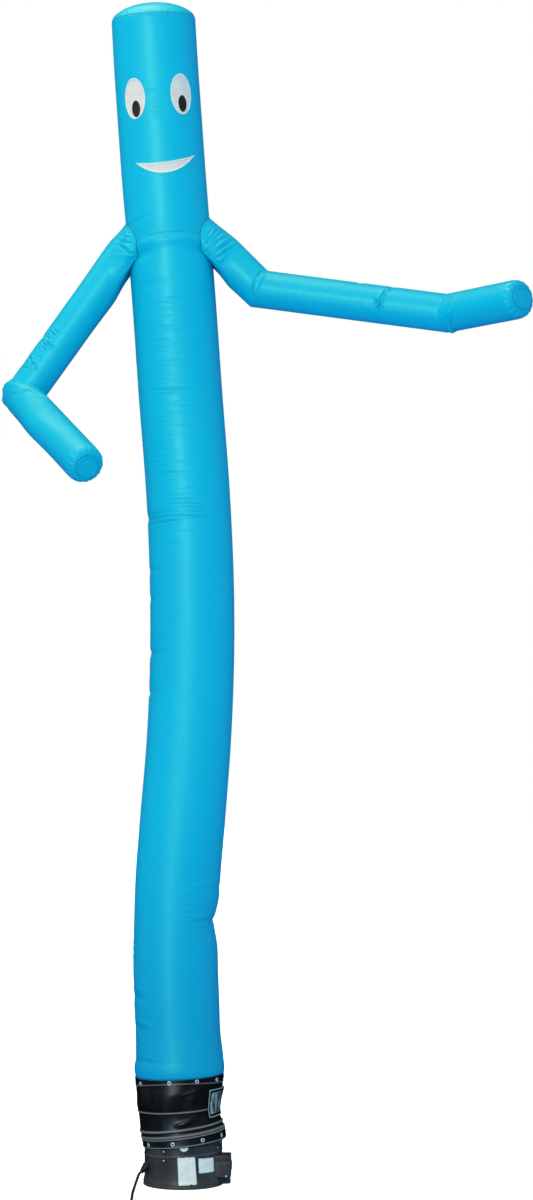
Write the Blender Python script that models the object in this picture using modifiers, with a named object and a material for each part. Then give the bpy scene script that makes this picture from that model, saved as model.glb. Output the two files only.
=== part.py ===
"""Inflatable air dancer: a cloth figure held up by a floor blower, under way in a light wind.

Metres, +Z up. The origin is the middle of the blower's base, on the floor. The face looks
along -Y. Azimuths go round the body from the front (-Y) towards +X, in degrees.
"""

import math

import bmesh
import bpy
import numpy as np
from mathutils import Vector

GAP = 0.0003  # left between touching solids
SEW = 0.00002  # points nearer than this are one
CLOTH = 0.0015  # thickness of the ripstop, with its seams
PATCH = 0.001  # thickness of the sewn-on face patches
VINYL = 0.0015  # thickness of the collar's coated cloth

# The body tube's middle line. forward is along -Y.
BODY = np.array(
    [
        (0.552, -0.0215, 0.000, 0.2272),
        (0.585, -0.0215, 0.000, 0.2320),
        (0.640, -0.0215, 0.000, 0.2262),
        (0.729, -0.0270, 0.000, 0.2203),
        (0.934, -0.0361, 0.000, 0.2199),
        (1.139, -0.0426, 0.000, 0.2195),
        (1.344, -0.0385, 0.000, 0.2195),
        (1.550, -0.0325, 0.000, 0.2190),
        (1.859, -0.0091, 0.000, 0.2199),
        (2.273, 0.0235, 0.000, 0.2196),
        (2.481, 0.0343, 0.000, 0.2193),
        (2.793, 0.0418, 0.000, 0.2190),
        (3.107, 0.0382, 0.000, 0.2193),
        (3.526, 0.0188, 0.000, 0.2192),
        (4.074, -0.0235, 0.000, 0.2190),
        (4.580, -0.0593, 0.012, 0.2198),
        (4.842, -0.0803, 0.025, 0.2198),
        (5.271, -0.1157, 0.0565, 0.2205),
        (5.520, -0.1328, 0.0810, 0.2208),
        (5.830, -0.1529, 0.1170, 0.2206),
        (6.034, -0.1635, 0.1450, 0.2195),
    ],
    dtype=[("height", float), ("sideways", float), ("forward", float), ("radius", float)],
)

TORSO_RINGS = (0.569, 0.585, 0.610, 0.660, *(0.9 + 0.3 * i for i in range(14)))
HEAD_RINGS = (5.1, 5.3, 5.5, 5.7, 5.88)
NEAREST_RINGS = 0.014  # rings closer than this are left out

# Where the tube buckles. Each crease lies across the cloth, reach degrees to each side.
BODY_CREASES = np.array(
    [
        (0.640, -50, 60, 0.005, 0.020),
        (0.810, -55, 50, 0.006, 0.022),
        (0.965, -65, 45, 0.006, 0.020),
        (1.345, 90, 85, 0.024, 0.090),
        (1.372, 80, 60, 0.010, 0.018),
        (1.520, 75, 45, 0.005, 0.020),
        (2.510, -80, 45, 0.005, 0.018),
        (2.720, -75, 55, 0.008, 0.020),
        (3.010, -75, 45, 0.005, 0.018),
        (3.155, -70, 45, 0.005, 0.018),
        (3.440, -62, 60, 0.010, 0.022),
        (4.640, -25, 50, 0.004, 0.018),
    ],
    dtype=[("height", float), ("azimuth", float), ("reach", float), ("depth", float), ("half", float)],
)

COLLAR_TOP, COLLAR_TOP_RISE = 0.552, 0.010  # the collar's top edge, and its climb to the right
NECK_SEAM, NECK_DIP = 4.905, 0.050  # the seam dips at the sleeves
NECK_PINCH, NECK_PINCH_HALF = 0.006, 0.022
NECK_RINGS = (0.020, 0.045)  # above and below the seam
HEAD_RIM = 6.034
DOME_HEIGHT, DOME_POWER, DOME_LIFT = 0.085, 0.6, 0.0013

ARM_RADIUS = 0.0985
SLEEVE_FLARE, SLEEVE_FLARE_LONG = 0.006, 0.45  # a sleeve is a little wider by the body
MOUTH_HALF_HEIGHT, MOUTH_REACH = 0.128, 41.0  # the armhole, as metres and degrees
MOUTH_CLEAR = 0.0024
MOUTH_BLEND = 0.18  # the sleeve is round again this far down
ARMHOLE_SHARE = 0.92  # the hole behind the sleeve's edge
ARMHOLE_HALF_DEPTH = 0.06
ARM_STEP = 0.125  # between rings along a straight stretch
SHOULDER_RINGS = (0.04, 0.09, 0.15)
# The gathered end of a sleeve, by distance from its disc.
SLEEVE_END = np.array(
    [(0.055, 0.0985), (0.032, 0.0965), (0.014, 0.0880), (0.004, 0.0740), (0.0, 0.0590)],
    dtype=[("before", float), ("radius", float)],
)
END_DISC_RADIUS, END_DISC_LIFT, END_DISC_CROWN = 0.0583, 0.0008, 0.006

# Each arm's middle line, corner by corner: sideways, forward, height.
LEFT_ARM = {
    "azimuth": -90.0,
    "shoulder": 4.866,
    "corners": ((-0.8500, 0.030, 4.0630), (-0.4600, 0.700, 3.6171)),
    "creases": (
        (0.66, 0, 70, 0.006, 0.016),
        (0.78, 10, 70, 0.007, 0.016),
        (0.885, 0, 60, -0.022, 0.030),
        (0.962, 0, 80, 0.021, 0.028),
        (1.45, 180, 60, 0.005, 0.015),
    ),
}
RIGHT_ARM = {
    "azimuth": 90.0,
    "shoulder": 4.863,
    "corners": ((0.3888, 0.060, 4.6292), (1.3592, 0.250, 4.4659), (1.7016, 0.670, 4.4651)),
    "creases": ((0.88, 0, 70, 0.006, 0.016), (0.97, 20, 60, 0.007, 0.016), (1.12, 200, 60, 0.004, 0.015)),
}

# The face, on the head's cloth. Widths are degrees round the head.
EYES = {"left": (-32.0, 5.609), "right": (35.0, 5.618)}
EYE_REACH, EYE_HALF_HEIGHT = 16.3, 0.106
PUPILS = {"left": (-30.3, 5.556), "right": (35.3, 5.569)}
PUPIL_REACH, PUPIL_HALF_HEIGHT = 6.2, 0.043
PATCH_CLEAR = 0.0013  # the head's flat facets bow a little between its rings
SMILE_AZIMUTH, SMILE_HEIGHT, SMILE_REACH = 6.5, 5.292, 44.0
SMILE_TOP_SAG, SMILE_BOTTOM_SAG, SMILE_TILT = 0.022, 0.080, 0.012

# The collar's outer face. rise is how much higher it lies on the right than on the left, halved.
COLLAR = np.array(
    [
        (0.2060, 0.0072, 0.2110, 0.0230),
        (0.2520, 0.0010, 0.2112, 0.0280),
        (0.2880, -0.0090, 0.2105, 0.0280),
        (0.3350, -0.0195, 0.2060, 0.0200),
        (0.3730, -0.0240, 0.2053, 0.0140),
        (0.4150, -0.0262, 0.2130, 0.0135),
        (0.4780, -0.0212, 0.2215, 0.0120),
        (0.5520, -0.0215, 0.2262, 0.0100),
    ],
    dtype=[("height", float), ("sideways", float), ("radius", float), ("rise", float)],
)
WELTS = (0.256, 0.288, 0.375)  # heights of the sewn welts round the collar
WELT_PROUD, WELT_HALF = 0.004, 0.006
STRAP_OFF = 0.0009  # a strap stands this far off the collar behind it
STRAPS = {"top_strap": (0.5115, 0.5517), "bottom_strap": (0.2060, 0.2440)}
EYELETS = {
    "top": (0.5310, (-59, -11, 25, 59, 97, 137, 177, 217, 257)),
    "bottom": (0.2240, (-56, -14, 26, 62, 100, 140, 180, 220, 262)),
}
EYELET_HOLE, EYELET_OUTER, EYELET_TALL = 0.005, 0.011, 0.0014
EYELET_STEPS = 10
HOLE_CUT_DEEP = 0.008
POCKET_AZIMUTHS, POCKET_HEIGHTS, POCKET_OFF = (36, 88), (0.395, 0.482), 0.0020

DRUM_RADIUS, DRUM_TOP, DRUM_SPLIT = 0.200, 0.290, 0.168
DRUM_WALL, MOTOR_DECK = 0.008, 0.118
BASE_RADIUS, BASE_THICK = 0.206, 0.020
BASE_TAB = ((0.10, -0.020), (0.243, 0.080))  # the base reaches out under the switch box
BASE_TAB_CORNER = 0.025
SWITCH_BOX = ((0.120, -0.112, 0.048), (0.247, 0.006, 0.158))
SWITCH_BOX_EDGE = 0.007

GLAND_AZIMUTH, GLAND_HEIGHT = -64.0, 0.106
GLAND_DIRECTION = (-0.62, -0.52, -0.58)
GLAND = ((-0.022, 0.023), (0.010, 0.023), (0.014, 0.018), (0.048, 0.0105))

CORD_RADIUS = 0.007
CORD_STEP = 0.022
CORD_STRAIGHT = 0.020  # it leaves the gland straight for this far
# The lead's route from there to the coil, whose outer turn it joins.
CORD_ROUTE = (
    (-0.2315, -0.1480, 0.0420),
    (-0.2380, -0.1780, 0.0235),
    (-0.2420, -0.2150, 0.0115),
    (-0.2438, -0.2550, 0.0070),
    (-0.2438, -0.3100, 0.0070),
    (-0.2425, -0.3800, 0.0070),
    (-0.2400, -0.4600, 0.0070),
    (-0.2375, -0.5400, 0.0070),
    (-0.2360, -0.6200, 0.0070),
    (-0.2365, -0.7000, 0.0070),
    (-0.2370, -0.7595, 0.0070),
)
COIL_MIDDLE, COIL_MIDDLE_RADIUS = (-0.150, -0.8100), 0.080
COIL_HALF_WIDTH, COIL_TALL, COIL_EDGE = 0.0145, 0.0285, 0.006
PLUG_MIDDLE, PLUG_TURN = (-0.0985, -0.897), 0.0
PLUG_BODY = ((0.000, 0.0075), (0.020, 0.0095), (0.024, 0.0165), (0.050, 0.0175), (0.056, 0.0165))
PLUG_PIN_RADIUS, PLUG_PIN_LONG, PLUG_PIN_APART = 0.0024, 0.019, 0.0095

ROUND = 24  # sides of the body tube and collar
SLEEVE_ROUND = 16
DRUM_ROUND = 40


# ---------------------------------------------------------------- scene and materials


def clear_scene():
    for obj in list(bpy.data.objects):
        bpy.data.objects.remove(obj, do_unlink=True)


def collection(name, hidden=False):
    made = bpy.data.collections.new(name)
    bpy.context.scene.collection.children.link(made)
    made.hide_render = hidden
    return made


def material(name, colour, roughness, metallic=0.0):
    made = bpy.data.materials.new(name)
    made.use_nodes = True
    shader = made.node_tree.nodes["Principled BSDF"]
    shader.inputs["Base Color"].default_value = (*colour, 1.0)
    shader.inputs["Roughness"].default_value = roughness
    shader.inputs["Metallic"].default_value = metallic
    return made


# ---------------------------------------------------------------- shared modelling steps


def finished(name, mesh, group, surface):
    obj = bpy.data.objects.new(name, mesh)
    group.objects.link(obj)
    if surface is not None:
        obj.data.materials.append(surface)
    return obj


def cutter(name, mesh):
    obj = finished(name, mesh, CUTTERS, None)
    obj.hide_render = True
    obj.display_type = "WIRE"
    return obj


def mesh_of(work, name, smooth=True):
    """The bmesh as a mesh, its sharp edges kept where it is shaded smooth."""
    mesh = bpy.data.meshes.new(name)
    work.to_mesh(mesh)
    work.free()
    if smooth:
        mesh.shade_smooth()
        mesh.set_sharp_from_angle(angle=math.radians(40))
    return mesh


def cloth_grid(name, columns, rows, place):
    """A flat grid of cloth, laid by place(across, row), with its meeting edges sewn together."""
    work = bmesh.new()
    bmesh.ops.create_grid(work, x_segments=columns, y_segments=len(rows) - 1, size=0.5)
    flat = np.array([v.co for v in work.verts])
    across = flat[:, 0] + 0.5
    row = np.rint((flat[:, 1] + 0.5) * (len(rows) - 1)).astype(int)
    points = place(across, np.asarray(rows, float)[row])
    for vert, point in zip(work.verts, points):
        vert.co = point
    bmesh.ops.remove_doubles(work, verts=work.verts, dist=SEW)
    return mesh_of(work, name)


def cloth_piece(name, columns, rows, place, thickness, surface):
    """A cloth piece: the laid grid is its outer face, and its thickness goes inwards."""
    obj = finished(name, cloth_grid(name, columns, rows, place), PART, surface)
    shell = obj.modifiers.new("thickness", "SOLIDIFY")
    shell.thickness = thickness
    shell.offset = -1
    return obj


def cut(obj, tool, operation="DIFFERENCE"):
    step = obj.modifiers.new(tool.name, "BOOLEAN")
    step.operation = operation
    step.solver = "EXACT"
    step.object = tool


def turned(name, profile, steps, surface):
    """A profile of (radius, height) points turned round Z. It runs down its outer side."""
    work = bmesh.new()
    verts = [work.verts.new((radius, 0.0, height)) for radius, height in profile]
    for first, second in zip(verts, verts[1:]):
        work.edges.new((first, second))
    closed = profile[0][0] > 0 and profile[-1][0] > 0
    if closed:
        work.edges.new((verts[-1], verts[0]))
    obj = finished(name, mesh_of(work, name, smooth=False), PART, surface)
    screw = obj.modifiers.new("turned", "SCREW")
    screw.steps = screw.render_steps = steps
    screw.use_merge_vertices = True
    screw.merge_threshold = 0.0001
    screw.use_smooth_shade = False
    return obj


def box_mesh(name, low, high):
    low, high = Vector(low), Vector(high)
    work = bmesh.new()
    bmesh.ops.create_cube(work, size=1.0)
    for vert in work.verts:
        vert.co = low + Vector((vert.co[i] + 0.5) * (high[i] - low[i]) for i in range(3))
    return mesh_of(work, name, smooth=False)


def smooth_step(x):
    x = np.clip(x, 0.0, 1.0)
    return x * x * (3.0 - 2.0 * x)


def smooth_column(rows, name, at):
    """The cubic through a table's column, each row's slope being that of its two neighbours."""
    x, y = rows["height"], rows[name]
    slope = np.gradient(y, x)
    i = np.clip(np.searchsorted(x, at) - 1, 0, len(x) - 2)
    step = x[i + 1] - x[i]
    t = (at - x[i]) / step
    return (
        (1 + 2 * t) * (1 - t) ** 2 * y[i]
        + t * (1 - t) ** 2 * step * slope[i]
        + t * t * (3 - 2 * t) * y[i + 1]
        + t * t * (t - 1) * step * slope[i + 1]
    )


def unit(vectors):
    return vectors / np.linalg.norm(vectors, axis=-1, keepdims=True)


# ---------------------------------------------------------------- body tube


def body_middle(height):
    return np.stack(
        [
            smooth_column(BODY, "sideways", height),
            -smooth_column(BODY, "forward", height),
            height,
        ],
        axis=-1,
    )


def body_out(azimuth, height):
    """The direction straight out of the tube, square to its middle line."""
    step = 0.01
    along = unit(body_middle(height + step) - body_middle(height - step))
    right = unit(np.array([1.0, 0.0, 0.0]) - along * along[..., :1])
    front = np.cross(right, along)
    turn = np.radians(azimuth)[..., None]
    return np.sin(turn) * right + np.cos(turn) * front


def crease_depth(rows, where, azimuth, along):
    """How far the creases draw the cloth in: a soft notch along it, fading to the crease's ends."""
    depth = np.zeros(np.broadcast(azimuth, along).shape)
    for row in rows:
        away = (azimuth - row["azimuth"] + 180) % 360 - 180
        fade = np.cos(np.clip(away / row["reach"], -1, 1) * math.pi / 2) ** 2
        depth += row["depth"] * fade * np.exp(-(((along - row[where]) / row["half"]) ** 2))
    return depth


def neck_seam(azimuth):
    return NECK_SEAM - NECK_DIP * np.sin(np.radians(azimuth)) ** 2


def body_point(azimuth, height, out=0.0):
    azimuth, height = np.broadcast_arrays(np.asarray(azimuth, float), np.asarray(height, float))
    radius = smooth_column(BODY, "radius", height) + out
    radius = radius - crease_depth(BODY_CREASES, "height", azimuth, height)
    radius = radius - NECK_PINCH * np.exp(-(((height - neck_seam(azimuth)) / NECK_PINCH_HALF) ** 2))
    return body_middle(height) + radius[..., None] * body_out(azimuth, height)


def between_seams(lower, upper):
    """place() for a stretch of the tube: each column of cloth runs from one seam to the other."""

    def place(across, share):
        azimuth = -90 + 360 * across
        return body_point(azimuth, lower(azimuth) + (upper(azimuth) - lower(azimuth)) * share)

    return place


def shares(heights, low, high):
    """Ring heights as shares of the way from low to high, with near ones left out."""
    kept = [low]
    for height in sorted(heights):
        if height - kept[-1] > NEAREST_RINGS and high - height > NEAREST_RINGS:
            kept.append(height)
    return [(height - low) / (high - low) for height in kept] + [1.0]


def armhole_cutter(arm, name):
    """An oval plug through the tube's wall, where the sleeve's mouth lies."""
    work = bmesh.new()
    bmesh.ops.create_cone(work, cap_ends=True, segments=SLEEVE_ROUND, radius1=1, radius2=1, depth=2)
    for vert in work.verts:
        azimuth = arm["azimuth"] - ARMHOLE_SHARE * MOUTH_REACH * vert.co.y
        height = arm["shoulder"] + ARMHOLE_SHARE * MOUTH_HALF_HEIGHT * vert.co.x
        vert.co = body_point(azimuth, height, ARMHOLE_HALF_DEPTH * vert.co.z)
    if work.calc_volume(signed=True) < 0:
        bmesh.ops.reverse_faces(work, faces=work.faces)
    return cutter(name, mesh_of(work, name, smooth=False))


def make_body(cloth):
    folds = [row["height"] + side * row["half"] for row in BODY_CREASES for side in (-1, 0, 1)]
    under_neck = [NECK_SEAM - away for away in NECK_RINGS]
    above_neck = [NECK_SEAM + away for away in NECK_RINGS]
    torso = cloth_piece(
        "torso",
        ROUND,
        shares([*TORSO_RINGS, *folds, *under_neck], COLLAR_TOP, NECK_SEAM),
        between_seams(
            lambda azimuth: COLLAR_TOP + COLLAR_TOP_RISE * np.sin(np.radians(azimuth)),
            lambda azimuth: neck_seam(azimuth) - GAP,
        ),
        CLOTH,
        cloth,
    )
    head = cloth_piece(
        "head",
        ROUND,
        shares([*above_neck, *HEAD_RINGS], NECK_SEAM, HEAD_RIM),
        between_seams(neck_seam, lambda azimuth: HEAD_RIM + 0 * azimuth),
        CLOTH,
        cloth,
    )
    for arm, side in ((LEFT_ARM, "left"), (RIGHT_ARM, "right")):
        hole = armhole_cutter(arm, f"{side}_armhole")
        cut(torso, hole)
        cut(head, hole)


def make_head_top(cloth):
    """The disc that closes the head, blown up into a shallow dome."""
    middle = body_middle(np.array(HEAD_RIM))
    up = unit(body_middle(np.array(HEAD_RIM)) - body_middle(np.array(HEAD_RIM - 0.02)))
    rim = smooth_column(BODY, "radius", HEAD_RIM)

    def place(across, share):
        out = body_out(-90 + 360 * across, np.full(across.shape, HEAD_RIM))
        crown = DOME_LIFT + DOME_HEIGHT * (1 - share**2) ** DOME_POWER
        return middle + out * (rim * share)[:, None] + up * crown[:, None]

    cloth_piece("head_top", ROUND, [1.0, 0.94, 0.8, 0.5, 0.0], place, CLOTH, cloth)


# ---------------------------------------------------------------- arms


def carried_round(vector, before, after):
    """The vector, turned as the middle line turns from one direction to the next."""
    axis = np.cross(before, after)
    turn = 1.0 + before @ after
    return vector + np.cross(axis, vector) + np.cross(axis, np.cross(axis, vector)) / turn


def arm_sections(arm):
    """(corners, directions, upper sides): the straight stretches of an arm."""
    start = body_point(arm["azimuth"], arm["shoulder"])
    corners = [start] + [np.array((x, -forward, z)) for x, forward, z in arm["corners"]]
    along = [unit(b - a) for a, b in zip(corners, corners[1:])]
    up = np.array([0.0, 0.0, 1.0])
    upper = [unit(up - along[0] * (up @ along[0]))]
    for before, after in zip(along, along[1:]):
        upper.append(carried_round(upper[-1], before, after))
    return corners, along, upper


def arm_point(arm, angle, travel):
    """Points of a sleeve by angle round it and travel along it, in stretches and shares.

    Each thread of the cloth runs straight from one mitre plane to the next, so the tube is
    round between its bends and kinks crisply at them.
    """
    corners, along, upper = arm_sections(arm)
    last = len(along) - 1
    stretch = np.minimum(travel.astype(int), last)
    share = travel - stretch
    length = np.array([np.linalg.norm(b - a) for a, b in zip(corners, corners[1:])])
    run = np.concatenate([[0.0], np.cumsum(length)])
    distance = run[stretch] + share * length[stretch]
    radius = np.interp(run[-1] - distance, SLEEVE_END["before"][::-1], SLEEVE_END["radius"][::-1])
    creases = np.array(
        list(arm["creases"]),
        dtype=[("along", float), ("azimuth", float), ("reach", float), ("depth", float), ("half", float)],
    )
    radius = radius - crease_depth(creases, "along", np.degrees(angle), distance)
    radius = radius + SLEEVE_FLARE * (1 - smooth_step(distance / SLEEVE_FLARE_LONG))

    start = np.array(corners)[stretch]
    direction = np.array(along)[stretch]
    side = np.array(upper)[stretch]
    other = np.cross(direction, side)
    out = np.cos(angle)[:, None] * side + np.sin(angle)[:, None] * other

    planes = [np.array([np.sign(along[0][0]), 0.0, 0.0])]
    planes += [unit(a + b) for a, b in zip(along, along[1:])] + [along[-1]]
    planes = np.array(planes)

    def shift(plane):
        """How far along its thread a point reaches the mitre plane."""
        return -radius * (out * plane).sum(1) / (direction * plane).sum(1)

    first, second = shift(planes[stretch]), shift(planes[stretch + 1])
    reach = first + share * (length[stretch] + second - first)
    points = start + out * radius[:, None] + direction * reach[:, None]

    azimuth = arm["azimuth"] - MOUTH_REACH * np.sin(angle)
    height = arm["shoulder"] + MOUTH_HALF_HEIGHT * np.cos(angle)
    mouth = body_point(azimuth, height, MOUTH_CLEAR)
    round_out = np.cos(angle)[:, None] * upper[0] + np.sin(angle)[:, None] * np.cross(along[0], upper[0])
    wide = ARM_RADIUS + SLEEVE_FLARE
    slant = -wide * (round_out @ planes[0]) / (along[0] @ planes[0])
    round_start = corners[0] + wide * round_out + slant[:, None] * along[0]
    faded = (1 - smooth_step((distance - run[0]) / MOUTH_BLEND))[:, None]
    return points + (mouth - round_start) * faded


def arm_rows(arm):
    """Ring places along a sleeve: even steps, its creases, its bends and its gathered end."""
    corners = arm_sections(arm)[0]
    length = [float(np.linalg.norm(b - a)) for a, b in zip(corners, corners[1:])]
    run = np.concatenate([[0.0], np.cumsum(length)])
    wanted = [row[0] + side * row[4] for row in arm["creases"] for side in (-1, 0, 1)]
    wanted += SHOULDER_RINGS
    rows = []
    for i, long in enumerate(length):
        end = long - SLEEVE_END["before"][0] if i == len(length) - 1 else long
        count = max(1, math.ceil(end / ARM_STEP))
        rows += [i + end * k / count / long for k in range(count)]
        rows += [i + (x - run[i]) / long for x in wanted if run[i] + 0.03 < x < run[i] + end - 0.03]
    rows += [len(length) - row["before"] / length[-1] for row in SLEEVE_END]
    rows = sorted(rows)
    return [a for a, b in zip(rows, rows[1:] + [99.0]) if b - a > 0.008]


def make_arm(arm, name, cloth):
    cloth_piece(
        name,
        SLEEVE_ROUND,
        arm_rows(arm),
        lambda across, travel: arm_point(arm, 2 * math.pi * across, travel),
        CLOTH,
        cloth,
    )
    corners, along, upper = arm_sections(arm)
    other = np.cross(along[-1], upper[-1])

    def place(across, share):
        angle = 2 * math.pi * across
        out = np.cos(angle)[:, None] * upper[-1] + np.sin(angle)[:, None] * other
        crown = END_DISC_LIFT + END_DISC_CROWN * (1 - share**2)
        return corners[-1] + END_DISC_RADIUS * share[:, None] * out + crown[:, None] * along[-1]

    cloth_piece(f"{name}_end", SLEEVE_ROUND, [1.0, 0.6, 0.0], place, CLOTH, cloth)


# ---------------------------------------------------------------- face


def oval(name, place, reach, half_height, out, columns, surface):
    azimuth, height = place

    def at(across, share):
        angle = 2 * math.pi * across
        return body_point(
            azimuth + reach * share * np.cos(angle), height + half_height * share * np.sin(angle), out
        )

    cloth_piece(name, columns, [1.0, 0.6, 0.0], at, PATCH, surface)


def make_face(white, black):
    on_head = PATCH_CLEAR + PATCH
    for side, place in EYES.items():
        oval(f"{side}_eye", place, EYE_REACH, EYE_HALF_HEIGHT, on_head, 20, white)
    for side, place in PUPILS.items():
        oval(
            f"{side}_pupil", place, PUPIL_REACH, PUPIL_HALF_HEIGHT, on_head + PATCH + GAP, 14, black
        )

    def crescent(across, share):
        u = 2 * across - 1
        sag = SMILE_BOTTOM_SAG + (SMILE_TOP_SAG - SMILE_BOTTOM_SAG) * share
        height = SMILE_HEIGHT - sag * (1 - u * u) + SMILE_TILT * u
        return body_point(SMILE_AZIMUTH + SMILE_REACH * u, height, on_head)

    cloth_piece("smile", 14, [0.0, 0.5, 1.0], crescent, PATCH, white)


# ---------------------------------------------------------------- collar


def collar_point(azimuth, height, out=0.0):
    azimuth, height = np.broadcast_arrays(np.asarray(azimuth, float), np.asarray(height, float))
    radius = smooth_column(COLLAR, "radius", height) + out
    turn = np.radians(azimuth)
    return np.stack(
        [
            smooth_column(COLLAR, "sideways", height) + radius * np.sin(turn),
            -radius * np.cos(turn),
            height + smooth_column(COLLAR, "rise", height) * np.sin(turn),
        ],
        axis=-1,
    )


def facet_frame(azimuth, height, out):
    """(point, direction out) on the flat facet of the collar's polygon at an azimuth."""
    width = 360 / ROUND
    left = math.floor(azimuth / width) * width
    a, b = collar_point(left, height, out), collar_point(left + width, height, out)
    mix = (azimuth - left) / width
    up = collar_point(left, height + 0.01, out) - a
    return a + (b - a) * mix, unit(np.cross(b - a, up))


def make_collar(vinyl):
    welt_rows = [h + side * WELT_HALF for h in WELTS for side in (-1, 0, 1)]
    rows = sorted(welt_rows + [0.206, 0.232, 0.335, 0.415, 0.478, COLLAR_TOP - GAP])

    def place(across, height):
        nearest = np.min([np.abs(height - welt) for welt in WELTS], axis=0)
        proud = WELT_PROUD * (nearest < WELT_HALF / 2)
        return collar_point(-90 + 360 * across, height, proud)

    cloth_piece("collar", ROUND, rows, place, VINYL, vinyl)


def make_strap(name, vinyl):
    low, high = STRAPS[name]
    out = STRAP_OFF + VINYL

    def place(across, height):
        return collar_point(-90 + 360 * across, height, out)

    strap = cloth_piece(name, ROUND, [low, high], place, VINYL, vinyl)
    height, azimuths = EYELETS[name.split("_")[0]]
    holes = bmesh.new()
    for azimuth in azimuths:
        point, outward = facet_frame(azimuth, height, out)
        turn = Vector(outward).to_track_quat("Z", "Y").to_matrix().to_4x4()
        turn.translation = point
        bmesh.ops.create_cone(
            holes,
            cap_ends=True,
            segments=EYELET_STEPS,
            radius1=EYELET_HOLE,
            radius2=EYELET_HOLE,
            depth=HOLE_CUT_DEEP,
            matrix=turn,
        )
    cut(strap, cutter(f"{name}_holes", mesh_of(holes, f"{name}_holes", smooth=False)))


def make_eyelets(row, steel):
    """A pressed ring on the strap round each hole."""
    height, azimuths = EYELETS[row]
    profile = (
        (EYELET_HOLE, 0.0),
        (EYELET_HOLE + 0.0012, EYELET_TALL),
        (EYELET_OUTER - 0.0015, EYELET_TALL),
        (EYELET_OUTER, 0.0),
    )
    shared = None
    for number, azimuth in enumerate(azimuths, 1):
        point, outward = facet_frame(azimuth, height, STRAP_OFF + VINYL)
        ring = turned(f"{row}_eyelet_{number}", profile, EYELET_STEPS, steel)
        if shared:
            ring.data = shared
        shared = ring.data
        ring.rotation_euler = Vector(outward).to_track_quat("Z", "Y").to_euler()
        ring.location = Vector(point) + Vector(outward) * GAP


def make_pocket(vinyl):
    """The clear-fronted flap sewn on the collar's right side."""

    def place(across, height):
        first, last = POCKET_AZIMUTHS
        return collar_point(first + (last - first) * across, height, POCKET_OFF + VINYL)

    cloth_piece("collar_pocket", 6, np.linspace(*POCKET_HEIGHTS, 4), place, VINYL, vinyl)


# ---------------------------------------------------------------- blower


def drum_cutter(name):
    """The drum's own form, a hair larger, to fit what is fixed to its side."""
    work = bmesh.new()
    bmesh.ops.create_cone(
        work,
        cap_ends=True,
        segments=4 * DRUM_ROUND,
        radius1=DRUM_RADIUS + 2 * GAP,
        radius2=DRUM_RADIUS + 2 * GAP,
        depth=1.0,
    )
    return cutter(name, mesh_of(work, name, smooth=False))


def make_housing(plastic):
    low = BASE_THICK + GAP
    top_inner = DRUM_RADIUS - DRUM_WALL
    turned(
        "blower_lower_housing",
        (
            (0.0, MOTOR_DECK),
            (top_inner, MOTOR_DECK),
            (top_inner, DRUM_SPLIT - GAP),
            (DRUM_RADIUS, DRUM_SPLIT - GAP),
            (DRUM_RADIUS, low),
            (0.0, low),
        ),
        DRUM_ROUND,
        plastic,
    )
    turned(
        "blower_upper_housing",
        (
            (top_inner, DRUM_SPLIT),
            (top_inner, DRUM_TOP),
            (DRUM_RADIUS, DRUM_TOP),
            (DRUM_RADIUS, DRUM_SPLIT),
        ),
        DRUM_ROUND,
        plastic,
    )


def make_base(plastic):
    work = bmesh.new()
    bmesh.ops.create_cone(
        work,
        cap_ends=True,
        segments=DRUM_ROUND,
        radius1=BASE_RADIUS,
        radius2=BASE_RADIUS - 0.003,
        depth=BASE_THICK,
    )
    bmesh.ops.translate(work, verts=work.verts, vec=(0, 0, BASE_THICK / 2))
    base = finished("blower_base", mesh_of(work, "blower_base"), PART, plastic)
    (x0, y0), (x1, y1) = BASE_TAB
    tab = cutter("base_tab", box_mesh("base_tab", (x0, y0, 0), (x1, y1, BASE_THICK)))
    edge = tab.modifiers.new("corners", "BEVEL")
    edge.width = BASE_TAB_CORNER
    edge.segments = 3
    edge.limit_method = "WEIGHT"
    weights = tab.data.attributes.new("bevel_weight_edge", "FLOAT", "EDGE")
    for number, line in enumerate(tab.data.edges):
        a, b = (tab.data.vertices[v].co for v in line.vertices)
        weights.data[number].value = float(a.x > x1 - GAP and b.x > x1 - GAP and abs(a.z - b.z) > GAP)
    cut(base, tab, "UNION")


def make_switch_box(plastic):
    box = finished("switch_box", box_mesh("switch_box", *SWITCH_BOX), PART, plastic)
    edge = box.modifiers.new("edges", "BEVEL")
    edge.width = SWITCH_BOX_EDGE
    edge.segments = 2
    cut(box, drum_cutter("drum_for_box"))


def gland_line():
    """(seat on the drum, direction) of the strain relief's middle line."""
    turn = math.radians(GLAND_AZIMUTH)
    seat = Vector((math.sin(turn), -math.cos(turn), 0)) * DRUM_RADIUS + Vector((0, 0, GLAND_HEIGHT))
    return seat, Vector(GLAND_DIRECTION).normalized()


def make_gland(rubber):
    """The tapered strain relief that carries the lead out of the drum's side."""
    seat, direction = gland_line()
    profile = [(0.0, GLAND[-1][0])]
    profile += [(radius, along) for along, radius in reversed(GLAND)] + [(0.0, GLAND[0][0])]
    gland = turned("cord_gland", profile, 16, rubber)
    gland.rotation_euler = direction.to_track_quat("Z", "Y").to_euler()
    gland.location = seat
    tool = drum_cutter("drum_for_gland")
    cut(gland, tool)


# ---------------------------------------------------------------- mains lead


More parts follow.
